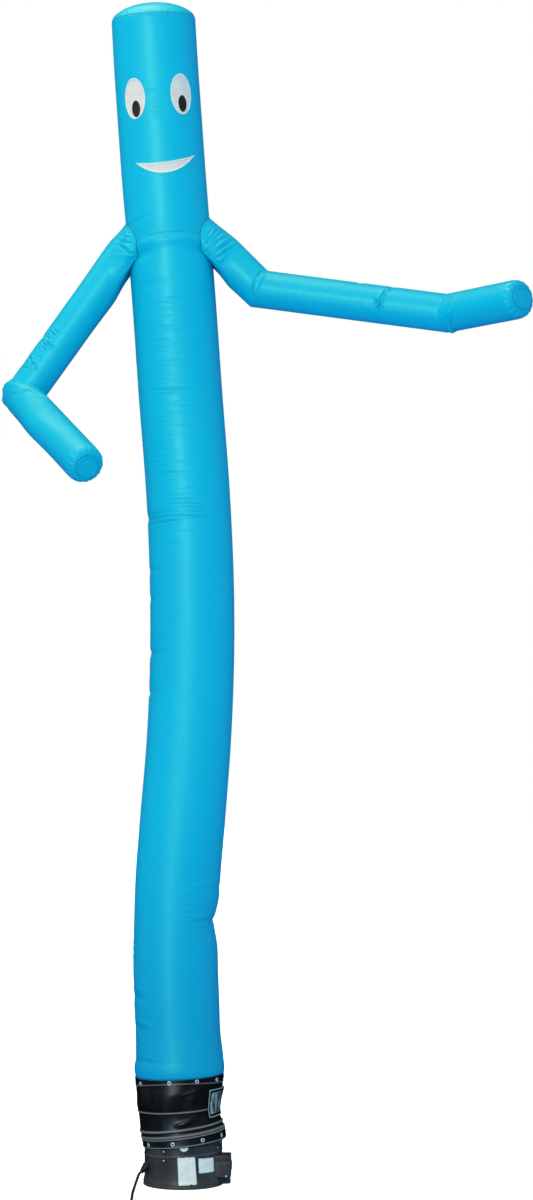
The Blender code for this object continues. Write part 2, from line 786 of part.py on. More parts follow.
def smooth_route(points, step):
    """A smooth curve through the route's points, read off at even steps."""
    points = [Vector(p) for p in points]
    ends = [2 * points[0] - points[1]] + points + [2 * points[-1] - points[-2]]
    fine = []
    for a, b, c, d in zip(ends, ends[1:], ends[2:], ends[3:]):
        for k in range(24):
            t = k / 24
            fine.append(
                0.5 * (2 * b + (c - a) * t + (2 * a - 5 * b + 4 * c - d) * t * t
                       + (3 * b - a - 3 * c + d) * t ** 3)
            )
    fine.append(points[-1])
    travelled = np.concatenate([[0], np.cumsum([(q - p).length for p, q in zip(fine, fine[1:])])])
    even = np.linspace(0, travelled[-1], round(travelled[-1] / step) + 1)
    fine = np.array(fine)
    return [Vector(np.interp(x, travelled, fine[:, axis]) for axis in range(3)) for x in even]


def make_cord(rubber):
    seat, direction = gland_line()
    leaves = seat + direction * (GLAND[-1][0] + GAP)
    points = smooth_route((leaves, leaves + direction * CORD_STRAIGHT, *CORD_ROUTE), CORD_STEP)
    curve = bpy.data.curves.new("cord", "CURVE")
    curve.dimensions = "3D"
    curve.bevel_depth = CORD_RADIUS
    curve.bevel_resolution = 2
    curve.use_fill_caps = True
    line = curve.splines.new("POLY")
    line.points.add(len(points) - 1)
    for place, point in zip(line.points, points):
        place.co = (*point, 1.0)
    finished("cord", curve, PART, rubber)


def make_coil(rubber):
    inner, outer = COIL_MIDDLE_RADIUS - COIL_HALF_WIDTH, COIL_MIDDLE_RADIUS + COIL_HALF_WIDTH
    edge = COIL_EDGE
    coil = turned(
        "cord_coil",
        (
            (inner, edge),
            (inner, COIL_TALL - edge),
            (inner + edge, COIL_TALL),
            (outer - edge, COIL_TALL),
            (outer, COIL_TALL - edge),
            (outer, edge),
            (outer - edge, 0.0),
            (inner + edge, 0.0),
        ),
        24,
        rubber,
    )
    coil.location = (*COIL_MIDDLE, 0.0)


def make_plug(rubber, brass):
    """A moulded plug that lies on its side by the coil, with its pins in line with it."""
    aim = Vector((math.cos(math.radians(PLUG_TURN)), math.sin(math.radians(PLUG_TURN)), 0))
    lying = max(radius for _, radius in PLUG_BODY)
    spread = aim.cross(Vector((0, 0, 1)))
    start = Vector((*PLUG_MIDDLE, lying))
    profile = [(0.0, PLUG_BODY[-1][0])]
    profile += [(radius, along) for along, radius in reversed(PLUG_BODY)] + [(0.0, 0.0)]
    plug = turned("plug", profile, 16, rubber)
    plug.rotation_euler = aim.to_track_quat("Z", "Y").to_euler()
    plug.location = start
    for number, side in enumerate((-1, 1), 1):
        pin = turned(
            f"plug_pin_{number}",
            ((0.0, PLUG_PIN_LONG), (PLUG_PIN_RADIUS, PLUG_PIN_LONG), (PLUG_PIN_RADIUS, 0.0), (0.0, 0.0)),
            10,
            brass,
        )
        pin.rotation_euler = plug.rotation_euler
        pin.location = start + aim * (PLUG_BODY[-1][0] + GAP) + spread * side * PLUG_PIN_APART


# ---------------------------------------------------------------- the whole object

clear_scene()
PART = collection("air_dancer")
CUTTERS = collection("cutters", hidden=True)

blue_cloth = material("blue_cloth", (0.0, 0.50, 0.74), 0.5)
white_cloth = material("white_cloth", (0.82, 0.84, 0.84), 0.6)
black_cloth = material("black_cloth", (0.012, 0.012, 0.014), 0.6)
black_vinyl = material("black_vinyl", (0.010, 0.010, 0.011), 0.25)
eyelet_steel = material("eyelet_steel", (0.72, 0.72, 0.72), 0.25, 1.0)
black_plastic = material("black_plastic", (0.012, 0.012, 0.013), 0.45)
black_rubber = material("black_rubber", (0.010, 0.010, 0.010), 0.55)
pin_brass = material("pin_brass", (0.62, 0.46, 0.20), 0.3, 1.0)

make_body(blue_cloth)
make_head_top(blue_cloth)
make_arm(LEFT_ARM, "left_arm", blue_cloth)
make_arm(RIGHT_ARM, "right_arm", blue_cloth)
make_face(white_cloth, black_cloth)
make_collar(black_vinyl)
for strap_name in STRAPS:
    make_strap(strap_name, black_vinyl)
for row_name in EYELETS:
    make_eyelets(row_name, eyelet_steel)
make_pocket(black_vinyl)
make_housing(black_plastic)
make_base(black_plastic)
make_switch_box(black_plastic)
make_gland(black_rubber)
make_cord(black_rubber)
make_coil(black_rubber)
make_plug(black_rubber, pin_brass)
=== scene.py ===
import math

import bpy
import numpy as np
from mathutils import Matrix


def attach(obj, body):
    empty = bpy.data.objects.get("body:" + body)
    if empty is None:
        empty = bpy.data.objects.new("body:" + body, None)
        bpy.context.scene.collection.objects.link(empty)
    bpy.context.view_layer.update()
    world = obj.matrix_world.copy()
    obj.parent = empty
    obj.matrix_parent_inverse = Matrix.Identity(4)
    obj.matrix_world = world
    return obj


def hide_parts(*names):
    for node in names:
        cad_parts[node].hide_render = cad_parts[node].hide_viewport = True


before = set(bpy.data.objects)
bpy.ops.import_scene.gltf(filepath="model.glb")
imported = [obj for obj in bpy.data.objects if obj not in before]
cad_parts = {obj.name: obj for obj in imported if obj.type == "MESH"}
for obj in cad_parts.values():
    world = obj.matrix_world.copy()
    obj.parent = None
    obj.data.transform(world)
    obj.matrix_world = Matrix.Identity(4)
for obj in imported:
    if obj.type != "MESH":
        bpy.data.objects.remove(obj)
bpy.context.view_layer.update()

# An inflatable air dancer: a tall cloth figure with two arms, held up by a floor blower.
# Metres, +Z up, the origin is the middle of the blower's base on the floor. The face looks
# along -Y. Azimuths go round the body from the front towards +X, in degrees.


# ---------------------------------------------------------------- stage, light and camera
# A plain white studio with a level floor. The camera sees a white sky, but its light is blue.
# A warm light stands high in front on the left and another overhead. The low light in front
# gives highlights alone.


class Wire:
    """One output of a node. + - and * with numbers or other wires add Math nodes."""

    def __init__(self, bench, socket):
        self.bench = bench
        self.socket = socket

    def math(self, operation, *others):
        return self.bench.node("Math", {"operation": operation}, dict(enumerate((self, *others))))

    def __add__(self, other):
        return self.math("ADD", other)

    def __sub__(self, other):
        return self.math("SUBTRACT", other)

    def __mul__(self, other):
        return self.math("MULTIPLY", other)

    def __rsub__(self, other):
        return self * -1.0 + other

    __radd__ = __add__
    __rmul__ = __mul__

    def rise(self, low, high):
        """0 below low, 1 above high, a smooth step between."""
        settings = {"interpolation_type": "SMOOTHSTEP"}
        return self.bench.node("MapRange", settings, {0: self, 1: low, 2: high})


class Bench:
    """The nodes of one material or world, with node() to add any of them."""

    def __init__(self, owner):
        owner.use_nodes = True
        self.owner = owner
        self.tree = owner.node_tree
        self.tree.nodes.clear()

    def node(self, kind, settings=None, sockets=None, out=0):
        """A node of this kind, its settings made first, then its sockets' values or links."""
        made = self.tree.nodes.new("ShaderNode" + kind)
        for name, value in (settings or {}).items():
            setattr(made, name, value)
        for name, value in (sockets or {}).items():
            if isinstance(value, Wire):
                self.tree.links.new(value.socket, made.inputs[name])
            else:
                made.inputs[name].default_value = value
        return Wire(self, made.outputs[out]) if len(made.outputs) else None

    def blend(self, share, first, second):
        """From the first colour at 0 to the second at 1."""
        return self.node("Mix", {"data_type": "RGBA"}, {0: share, 6: first, 7: second}, 2)

    def noise(self, place, scale, detail=3.0, stretch=(1.0, 1.0, 1.0)):
        """Noise from 0 to 1 at a place, with scale grains to the metre, times each axis's stretch."""
        place = self.node("Mapping", None, {"Vector": place, "Scale": stretch})
        sockets = {"Vector": place, "Scale": scale, "Detail": detail}
        return self.node("TexNoise", None, sockets)

    def place(self):
        """Object coordinates, in metres."""
        return self.node("TexCoord", None, None, 3)

    def axis(self, vector, number):
        """One number of three: 0 is X or U, 1 is Y or V, 2 is Z."""
        return self.node("SeparateXYZ", None, {0: vector}, number)

    def mark(self, name):
        """The number that the mesh holds at each point under this name."""
        return self.node("Attribute", {"attribute_name": name}, None, 2)

    def relief(self, height, distance, under=None):
        """A bump of this height, distance metres deep, over what lies under it."""
        sockets = {"Distance": distance, "Height": height}
        if under:
            sockets["Normal"] = under
        return self.node("Bump", None, sockets)

    def finish(self, sockets):
        """The material, its Principled shader made with these sockets."""
        shader = self.node("BsdfPrincipled", None, sockets)
        self.node("OutputMaterial", None, {"Surface": shader})
        return self.owner


def paint(red, green, blue):
    """A screen colour of 0 to 255 as the light it stands for."""
    shares = [value / 255 for value in (red, green, blue)]
    light = [((c + 0.055) / 1.055) ** 2.4 if c > 10 / 255 else c / 12.92 for c in shares]
    return (*light, 1.0)


camera_lens = bpy.data.cameras.new("camera")
camera_lens.sensor_fit = "VERTICAL"
camera_lens.sensor_height = 36.0
camera_lens.lens = 73.5
camera = bpy.data.objects.new("camera", camera_lens)
camera.location = (0.427, -12.75, 2.2)
camera.rotation_euler = (math.radians(93.6), 0.0, 0.0)
bpy.context.scene.collection.objects.link(camera)
bpy.context.scene.camera = camera
bpy.context.scene.view_settings.view_transform = "Standard"

sky_bench = Bench(bpy.data.worlds.new("sky"))
SKY_BELOW, SKY_ABOVE = (0.24, 0.61, 1.08, 1.0), (0.52, 0.84, 1.02, 1.0)
sky_up = sky_bench.axis(sky_bench.node("TexCoord", None, None, 0), 2)
sky_colour = sky_bench.blend(sky_up.rise(-0.9, 0.9), SKY_BELOW, SKY_ABOVE)
sky_light = sky_bench.node("Background", None, {"Color": sky_colour, "Strength": 1.0})
sky_seen = sky_bench.node("Background", None, {"Color": (1.0, 1.0, 1.0, 1.0), "Strength": 1.0})
camera_ray = sky_bench.node("LightPath", None, None, 0)
sky_both = sky_bench.node("MixShader", None, {0: camera_ray, 1: sky_light, 2: sky_seen})
sky_bench.node("OutputWorld", None, {"Surface": sky_both})
bpy.context.scene.world = sky_bench.owner
sky_bench.owner.cycles_visibility.glossy = False

# Each light: its place, the point it faces, its side, its power and its colour.
LIGHTS = {
    "key_light": ((-2.6, -9.5, 5.4), (0.0, 0.0, 3.0), 2.2, 385.0, (1.0, 0.96, 0.52)),
    "top_light": ((-1.6, -0.8, 10.4), (0.0, 0.0, 4.6), 5.6, 375.0, (1.0, 0.66, 0.33)),
    "low_light": ((-2.7, -9.0, 0.3), (0.0, 0.0, 0.9), 0.8, 150.0, (0.60, 0.88, 0.76)),
}
for light_name, (light_place, light_aim, light_side, light_power, light_colour) in LIGHTS.items():
    lamp = bpy.data.lights.new(light_name, "AREA")
    lamp.size = light_side
    lamp.energy = light_power
    lamp.color = light_colour
    light = bpy.data.objects.new(light_name, lamp)
    light.location = light_place
    backwards = np.array(light_place) - np.array(light_aim)
    backwards /= np.linalg.norm(backwards)
    light.rotation_euler = (math.acos(backwards[2]), 0.0, math.atan2(backwards[0], -backwards[1]))
    light.visible_diffuse = light_name != "low_light"
    bpy.context.scene.collection.objects.link(light)

floor_bench = Bench(bpy.data.materials.new("studio_floor"))
floor_cloudy = floor_bench.noise(floor_bench.place(), 1.5)
floor_white = floor_bench.blend(floor_cloudy, (0.80, 0.81, 0.82, 1.0), (0.84, 0.84, 0.85, 1.0))
floor_finish = floor_bench.finish(
    {
        "Base Color": floor_white,
        "Roughness": 0.9,
        "Specular IOR Level": 0.1,
        "Emission Color": (1.0, 1.0, 1.0, 1.0),
        "Emission Strength": 0.88,
    }
)
FLOOR_REACH, FLOOR_DROP = 60.0, 0.0005
floor_corners = FLOOR_REACH * np.array([(-1, -1), (1, -1), (1, 1), (-1, 1)])
floor_points = np.column_stack([floor_corners, np.full(4, -FLOOR_DROP)])
floor_mesh = bpy.data.meshes.new("floor")
floor_mesh.from_pydata(floor_points.tolist(), [], [(0, 1, 2, 3)])
floor_mesh.materials.append(floor_finish)
floor = bpy.data.objects.new("floor", floor_mesh)
bpy.context.scene.collection.objects.link(floor)
floor.visible_diffuse = False
floor.visible_glossy = False


# ---------------------------------------------------------------- mains lead
# A round two-core rubber lead, 14 mm thick. It leaves the blower through its strain relief,
# runs along the floor, and its spare length is wound into a small coil, tied once.


def unit(vectors):
    """The vectors at a length of one."""
    return vectors / np.linalg.norm(vectors, axis=-1, keepdims=True)


def smooth_step(x):
    """0 below 0, 1 above 1, and three squares less two cubes between."""
    x = np.clip(x, 0.0, 1.0)
    return x * x * (3.0 - 2.0 * x)


def through(points, steps):
    """A smooth line through points: between two, the cubic whose slope at each end is half the
    step between the points on either side of it."""
    ends = np.vstack([2 * points[0] - points[1], points, 2 * points[-1] - points[-2]])
    a, b, c, d = ends[:-3], ends[1:-2], ends[2:-1], ends[3:]
    t = (np.arange(steps) / steps)[:, None, None]
    rise = (c - a) * t + (2 * a - 5 * b + 4 * c - d) * t**2 + (3 * b - a - 3 * c + d) * t**3
    line = b + 0.5 * rise
    return np.vstack([np.swapaxes(line, 0, 1).reshape(-1, 3), points[-1]])


def evenly(line, step):
    """The line read off at even steps along it."""
    travelled = np.concatenate([[0.0], np.cumsum(np.linalg.norm(np.diff(line, axis=0), axis=1))])
    at = np.linspace(0.0, travelled[-1], round(travelled[-1] / step) + 1)
    return np.stack([np.interp(at, travelled, line[:, axis]) for axis in range(3)], axis=-1)


def spaced(low, high, plain, windows):
    """Places from low to high, plain apart, and closer in windows of (low, high, step)."""
    fine = np.linspace(low, high, 20000)
    step = np.full(fine.shape, plain)
    for first, last, close in windows:
        step[(fine >= first) & (fine < last)] = close
    count = np.concatenate([[0.0], np.cumsum(np.diff(fine) / step[1:])])
    return np.interp(np.linspace(0.0, count[-1], round(count[-1]) + 1), count, fine)


def surface(points, wraps=False, poles=(False, False), maps=None, marks=None, loops=False):
    """A grid of points as a surface: each face lies between two rows and two columns.

    Where it wraps, the last column is the first again, and where it loops, the last row is the
    first again. At a pole the first or last row is one point, met by triangles. maps are named
    grids of two numbers for a face's corners, such as metres of cloth, and marks are named grids
    of one number a point.
    """
    rows, columns = points.shape[:2]
    across = columns - wraps
    number = np.arange(rows * across).reshape(rows, across)
    if wraps:
        number = np.concatenate([number, number[:, :1]], axis=1)
    if loops:
        number[-1] = number[0]
    for row, pole in zip((0, -1), poles):
        if pole:
            number[row] = number[row, 0]

    def corners(grid):
        """A grid's values at the four corners of each face."""
        faces = (grid[:-1, :-1], grid[:-1, 1:], grid[1:, 1:], grid[1:, :-1])
        return np.stack(faces, axis=2).reshape(-1, 4, *grid.shape[2:])

    kept = np.ones(((rows - 1) * (columns - 1), 4), bool)
    if poles[0]:
        kept[: columns - 1, 1] = False
    if poles[1]:
        kept[-(columns - 1) :, 3] = False
    used, index = np.unique(corners(number)[kept], return_inverse=True)
    return {
        "points": points[:, :across].reshape(-1, 3)[used],
        "index": index.reshape(-1),
        "sides": kept.sum(axis=1),
        "maps": {name: corners(grid)[kept] for name, grid in (maps or {}).items()},
        "marks": {name: grid[:, :across].reshape(-1)[used] for name, grid in (marks or {}).items()},
    }


def piece(name, surfaces, finish, thickness=0.0):
    """One object of one or more surfaces, with its finish and a sheet's thickness inwards."""
    before = np.cumsum([0] + [len(part["points"]) for part in surfaces])
    index = np.concatenate([part["index"] + first for part, first in zip(surfaces, before)])
    sides = np.concatenate([part["sides"] for part in surfaces])
    mesh = bpy.data.meshes.new(name)
    mesh.vertices.add(before[-1])
    points = np.concatenate([part["points"] for part in surfaces])
    mesh.vertices.foreach_set("co", points.astype(np.float32).reshape(-1))
    mesh.loops.add(len(index))
    mesh.loops.foreach_set("vertex_index", index.astype(np.int32))
    mesh.polygons.add(len(sides))
    starts = np.concatenate([[0], np.cumsum(sides)[:-1]])
    mesh.polygons.foreach_set("loop_start", starts.astype(np.int32))
    mesh.update(calc_edges=True)
    for key in surfaces[0]["maps"]:
        layer = mesh.uv_layers.new(name=key)
        values = np.concatenate([part["maps"][key] for part in surfaces])
        layer.data.foreach_set("uv", values.astype(np.float32).reshape(-1))
    for key in surfaces[0]["marks"]:
        attribute = mesh.attributes.new(key, "FLOAT", "POINT")
        values = np.concatenate([part["marks"][key] for part in surfaces])
        attribute.data.foreach_set("value", values.astype(np.float32))
    mesh.shade_smooth()
    mesh.materials.append(finish)
    obj = bpy.data.objects.new(name, mesh)
    bpy.context.scene.collection.objects.link(obj)
    if thickness:
        shell = obj.modifiers.new("thickness", "SOLIDIFY")
        shell.thickness = thickness
        shell.offset = -1.0
    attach(obj, "root")
    return obj


def solid(rings, marks=None):
    """A solid form from its rings, closed by a pole in the middle of the first and last of them.
    marks have a row for each pole as well."""
    middles = rings[[0, -1], :-1].mean(axis=1)[:, None] + np.zeros_like(rings[:1])
    closed = np.concatenate([middles[:1], rings, middles[1:]])
    return surface(closed, wraps=True, poles=(True, True), marks=marks)


def carried(path, radius, sides):
    """Rings of a round section carried along a path, each square to the path there."""
    ahead = unit(np.gradient(path, axis=0))
    side = unit(np.cross(ahead, (0.0, 0.0, 1.0)))
    turn = np.linspace(0.0, 2 * math.pi, sides + 1)[None, :, None]
    ring = np.cos(turn) * side[:, None] + np.sin(turn) * np.cross(ahead, side)[:, None]
    return path[:, None] + ring * np.broadcast_to(radius, len(path))[:, None, None]


# Rings are started from this direction, along which nothing that is turned faces.
ASKEW = (0.30, 0.20, 0.93)


def turned(profile, seat, direction, sides):
    """Rings of a profile of (along, radius) rows, turned round a line from a seat."""
    along, radius = np.array(profile, float).T
    direction = unit(np.array(direction, float))
    side = unit(np.cross(direction, ASKEW))
    turn = np.linspace(0.0, 2 * math.pi, sides + 1)[None, :, None]
    ring = np.cos(turn) * side + np.sin(turn) * np.cross(direction, side)
    return np.array(seat) + along[:, None, None] * direction + radius[:, None, None] * ring


# The black plastics, rubber and coated cloth reflect light a little blue.
BLUE_SHEEN = (0.60, 0.62, 1.0, 1.0)
rubber = Bench(bpy.data.materials.new("black_rubber"))
rubber_dust = rubber.noise(rubber.place(), 22.0, 5.0).rise(0.42, 0.75)
rubber_grain = rubber.noise(rubber.place(), 900.0, 2.0)
black_rubber = rubber.finish(
    {
        "Base Color": rubber.blend(rubber_dust, paint(22, 20, 18), paint(48, 45, 41)),
        "Roughness": rubber_dust * 0.22 + 0.44,
        "Specular IOR Level": 0.5,
        "Specular Tint": BLUE_SHEEN,
        "Normal": rubber.relief(rubber_grain, 0.0002),
    }
)

LEAD_RADIUS = 0.007
GLAND_SEAT = np.array((-0.1797588, -0.0876742, 0.106))
GLAND_DIRECTION = unit(np.array((-0.62, -0.52, -0.58)))
GLAND_LONG = 0.048
LEAD_IN_GLAND = 0.012
lead_exit = GLAND_SEAT + GLAND_DIRECTION * (GLAND_LONG + 0.0003)
lead_start = [
    lead_exit - GLAND_DIRECTION * LEAD_IN_GLAND,
    lead_exit,
    lead_exit + GLAND_DIRECTION * 0.020,
]
LEAD_ROUTE = np.array(
    [
        (-0.2315, -0.1480, 0.0420),
        (-0.2380, -0.1780, 0.0235),
        (-0.2420, -0.2150, 0.0115),
        (-0.2438, -0.2550, 0.0070),
        (-0.2438, -0.3100, 0.0070),
        (-0.2425, -0.3800, 0.0070),
        (-0.2400, -0.4600, 0.0070),
        (-0.2375, -0.5400, 0.0070),
        (-0.2360, -0.6200, 0.0070),
        (-0.2365, -0.7000, 0.0070),
        (-0.2370, -0.7595, 0.0070),
    ]
)
# The coil: two and a quarter turns, from the outer one on the floor to the inner one beside it,
# then up and over to leave for the plug. Degrees wound, from the +X side.
COIL_MIDDLE = np.array((-0.150, -0.810))
COIL_INNER, COIL_OUTER, COIL_STEP_UP = 0.0727, 0.0873, 0.0143
wound = np.arange(180.0, 991.0, 18.0)
coil_radius = COIL_OUTER + (COIL_INNER - COIL_OUTER) * smooth_step((wound - 460.0) / 60.0)
coil_radius += (COIL_OUTER - COIL_INNER) * smooth_step((wound - 880.0) / 80.0)
coil_height = LEAD_RADIUS + COIL_STEP_UP * smooth_step((wound - 780.0) / 60.0)
coil_turns = np.stack(
    [
        COIL_MIDDLE[0] + coil_radius * np.cos(np.radians(wound)),
        COIL_MIDDLE[1] + coil_radius * np.sin(np.radians(wound)),
        coil_height,
    ],
    axis=-1,
)
LEAD_TAIL = np.array([(-0.1230, -0.8972, 0.0196), (-0.0945, -0.8970, 0.0175)])
lead_line = np.vstack([lead_start, LEAD_ROUTE, coil_turns, LEAD_TAIL])
lead_path = evenly(through(lead_line, 12), 0.006)
lead_path[:, 2] = np.maximum(lead_path[:, 2], LEAD_RADIUS)
lead_rings = carried(lead_path, LEAD_RADIUS, 20)
lead = piece("lead", [solid(lead_rings)], black_rubber)
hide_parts("cord", "cord_coil")

# The moulded plug, with grip rings round its waist, and its two pins.
PLUG_SEAT, PLUG_LONG = (-0.0985, -0.8970, 0.0175), 0.056
GRIP_MIDDLE, GRIP_HALF, GRIP_PITCH, GRIP_DEEP = 0.038, 0.0105, 0.0042, 0.0009
plug_along = np.linspace(0.0, PLUG_LONG, 85)
plug_radius = np.interp(
    plug_along,
    (0.0, 0.002, 0.018, 0.0215, 0.025, 0.030, 0.050, 0.054, 0.0555, 0.056),
    (0.0078, 0.0084, 0.0096, 0.0125, 0.0158, 0.0168, 0.0174, 0.0172, 0.0164, 0.0150),
)
grip = GRIP_DEEP * np.cos((plug_along - 0.028) * 2 * math.pi / GRIP_PITCH) ** 8
plug_radius -= grip * (np.abs(plug_along - GRIP_MIDDLE) < GRIP_HALF)
plug_rings = turned(np.stack([plug_along, plug_radius], axis=-1), PLUG_SEAT, (1.0, 0.0, 0.0), 40)
plug = piece("moulded_plug", [solid(plug_rings)], black_rubber)
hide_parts("plug")

brass = Bench(bpy.data.materials.new("pin_brass"))
brass_worn = brass.noise(brass.place(), 260.0, 4.0)
pin_brass = brass.finish(
    {
        "Base Color": brass.blend(brass_worn, (0.60, 0.44, 0.19, 1.0), (0.70, 0.55, 0.30, 1.0)),
        "Metallic": 1.0,
        "Roughness": brass_worn * 0.25 + 0.2,
    }
)
PIN_PROFILE = (
    (0.0002, 0.0024), (0.0165, 0.0024), (0.0180, 0.0020), (0.0188, 0.0011), (0.0190, 0.0004),
)
pin_surfaces = []
for pin_side in (-0.0095, 0.0095):
    pin_seat = np.array(PLUG_SEAT) + (PLUG_LONG, pin_side, 0.0)
    pin_surfaces.append(solid(turned(PIN_PROFILE, pin_seat, (1.0, 0.0, 0.0), 20)))
pins = piece("plug_pins", pin_surfaces, pin_brass)
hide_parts("plug_pin_1", "plug_pin_2")

# The tie: one turn of woven strap round the coil's bundle, in the outline of a rounded box.
TIE_AZIMUTH, TIE_WIDE, TIE_THICK = 20.0, 0.018, 0.0014
BUNDLE_RADIUS, BUNDLE_HALF_WIDE, BUNDLE_HALF_TALL, BUNDLE_SQUARENESS = 0.080, 0.0150, 0.0075, 0.45


def squared(wave, squareness):
    """A sine or cosine drawn towards a square wave: its size to a power, its sign kept."""
    return np.sign(wave) * np.abs(wave) ** squareness


tie_outline = np.linspace(0.0, 2 * math.pi, 61)
tie_middle = BUNDLE_RADIUS + BUNDLE_HALF_WIDE * squared(np.cos(tie_outline), BUNDLE_SQUARENESS)
tie_tall = 0.0079 + BUNDLE_HALF_TALL * squared(np.sin(tie_outline), BUNDLE_SQUARENESS)
tie_rows = []
for tie_across, tie_out in ((-0.5, 0.0), (-0.5, 1.0), (0.5, 1.0), (0.5, 0.0), (-0.5, 0.0)):
    tie_turn = math.radians(TIE_AZIMUTH) + tie_across * TIE_WIDE / BUNDLE_RADIUS
    tie_reach = tie_middle + tie_out * TIE_THICK * np.cos(tie_outline)
    tie_up = np.maximum(tie_tall + tie_out * TIE_THICK * np.sin(tie_outline), 0.0001)
    tie_x = COIL_MIDDLE[0] + tie_reach * math.cos(tie_turn)
    tie_y = COIL_MIDDLE[1] + tie_reach * math.sin(tie_turn)
    tie_rows.append(np.stack([tie_x, tie_y, tie_up], axis=-1))
webbing = Bench(bpy.data.materials.new("grey_webbing"))
webbing_pile = webbing.noise(webbing.place(), 1400.0, 2.0)
grey_webbing = webbing.finish(
    {
        "Base Color": webbing.blend(webbing_pile, paint(40, 40, 43), paint(74, 74, 78)),
        "Roughness": 0.85,
        "Normal": webbing.relief(webbing_pile, 0.0006),
    }
)
tie_surface = surface(np.array(tie_rows)[::-1], wraps=True, loops=True)
tie = piece("lead_tie", [tie_surface], grey_webbing)


# ---------------------------------------------------------------- blower
# A drum moulded in black plastic in two halves, riveted together at a seam, on a flanged base
# that reaches out under the switch box. The fan inside blows up through the open top.

SEAM_HEIGHT, SEAM_RISE = 0.166, 0.010
# The drum's outer wall by height: its foot flares out onto the base.
WALL = (
    (0.0203, 0.2062), (0.0260, 0.2048), (0.0330, 0.2029), (0.0410, 0.2010), (0.0500, 0.2000),
    (0.2900, 0.2000),
)


def drum_point(azimuth, height, out=0.0):
    """A point on the drum's wall by azimuth and height, out from it."""
    radius = np.interp(height, *zip(*WALL)) + out
    turn = np.radians(azimuth)
    return np.stack([radius * np.sin(turn), -radius * np.cos(turn), height + 0.0 * turn], axis=-1)


DRUM_SIDES = 180


def drum_surface(profile, closed):
    """A profile of (height, radius) rows turned round the drum's axis, its seam edge tilted. The
    moulding's lips at the seam are marked, and painted pale there as a highlight line."""
    height, radius = np.array(profile, float).T[:, :, None]
    turn = np.linspace(-math.pi, math.pi, DRUM_SIDES + 1)[None, :]
    near_seam = np.exp(-(((height - SEAM_HEIGHT) / 0.03) ** 2))
    tall = height + SEAM_RISE * np.sin(turn) * near_seam
    rings = np.stack([radius * np.sin(turn), -radius * np.cos(turn), tall], axis=-1)
    lip_highlight = np.exp(-(((height - SEAM_HEIGHT - 0.0006) / 0.0024) ** 4)) + 0.0 * turn
    if closed:
        return solid(rings, {"lip_highlight": np.concatenate([lip_highlight[:1], lip_highlight, lip_highlight[:1]])})
    return surface(rings, wraps=True, marks={"lip_highlight": lip_highlight}, loops=True)


plastic = Bench(bpy.data.materials.new("black_plastic"))
plastic_place = plastic.place()
plastic_grain = plastic.noise(plastic_place, 620.0, 3.0)
plastic_dust = plastic.noise(plastic_place, 9.0, 6.0, (1.0, 1.0, 0.45)).rise(0.45, 0.85)
plastic_low = 1.0 - plastic.axis(plastic_place, 2).rise(0.0, 0.12)
plastic_scuff = plastic.noise(plastic_place, 55.0, 2.0, (1.0, 1.0, 0.08)).rise(0.62, 0.70) * 0.5
# The seam's lips are painted pale: a painted highlight line along the seam.
plastic_lip_highlight = plastic.mark("lip_highlight")
plastic_worn = plastic_dust * 0.55 + plastic_low * 0.30 + plastic_scuff * 0.35
plastic_worn = plastic_worn.math("MINIMUM", 1.0)
plastic_grey = plastic.blend(plastic_worn, paint(56, 49, 43), paint(98, 91, 85))
black_plastic = plastic.finish(
    {
        "Base Color": plastic.blend(plastic_lip_highlight, plastic_grey, paint(98, 95, 90)),
        "Roughness": plastic_dust * 0.18 + 0.36,
        "Specular IOR Level": 0.6,
        "Specular Tint": BLUE_SHEEN,
        "Normal": plastic.relief(plastic_grain, 0.0005),
    }
)

# The two halves' sections: height and radius.
LOWER_PROFILE = (
    (0.0203, 0.1900), (0.0203, 0.2054), (0.0206, 0.2060), (0.0212, 0.2061), (0.0235, 0.2054),
    (0.0260, 0.2048), (0.0295, 0.2039), (0.0330, 0.2029), (0.0370, 0.2019), (0.0410, 0.2010),
    (0.0455, 0.2003), (0.0500, 0.2000), (0.0800, 0.2000), (0.1200, 0.2000), (0.1450, 0.2000),
    (0.1600, 0.2000), (0.1622, 0.2005), (0.1645, 0.2012), (0.1654, 0.2011), (0.1659, 0.2004),
    (0.1659, 0.1900),
)
UPPER_PROFILE = (
    (0.2885, 0.1920), (0.1661, 0.1920), (0.1661, 0.2006), (0.1665, 0.2016), (0.1674, 0.2018),
    (0.1700, 0.2010), (0.1730, 0.2003), (0.1760, 0.2000), (0.2000, 0.2000), (0.2400, 0.2000),
    (0.2880, 0.2000), (0.2896, 0.1992), (0.2900, 0.1975), (0.2900, 0.1940), (0.2885, 0.1920),
)
lower_housing = piece("lower_housing", [drum_surface(LOWER_PROFILE, True)], black_plastic)
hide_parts("blower_lower_housing")
upper_housing = piece("upper_housing", [drum_surface(UPPER_PROFILE, False)], black_plastic)
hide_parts("blower_upper_housing")


def moulding(outline, profile):
    """Rings of a form that fills an outline: each (height, inset) row is the outline drawn in."""
    along = np.roll(outline, -1, axis=0) - np.roll(outline, 1, axis=0)
    inward = unit(np.stack([-along[:, 1], along[:, 0]], axis=-1))
    height, inset = np.array(profile, float).T[:, :, None, None]
    flat = outline + inset * inward
    rings = np.concatenate([flat, height + 0.0 * flat[..., :1]], axis=-1)
    return np.concatenate([rings, rings[:, :1]], axis=1)


def arc(middle, radius, first, last, steps):
    """Points round part of a circle, in degrees from +X."""
    turn = np.radians(np.linspace(first, last, steps))
    return np.array(middle) + radius * np.stack([np.cos(turn), np.sin(turn)], axis=-1)


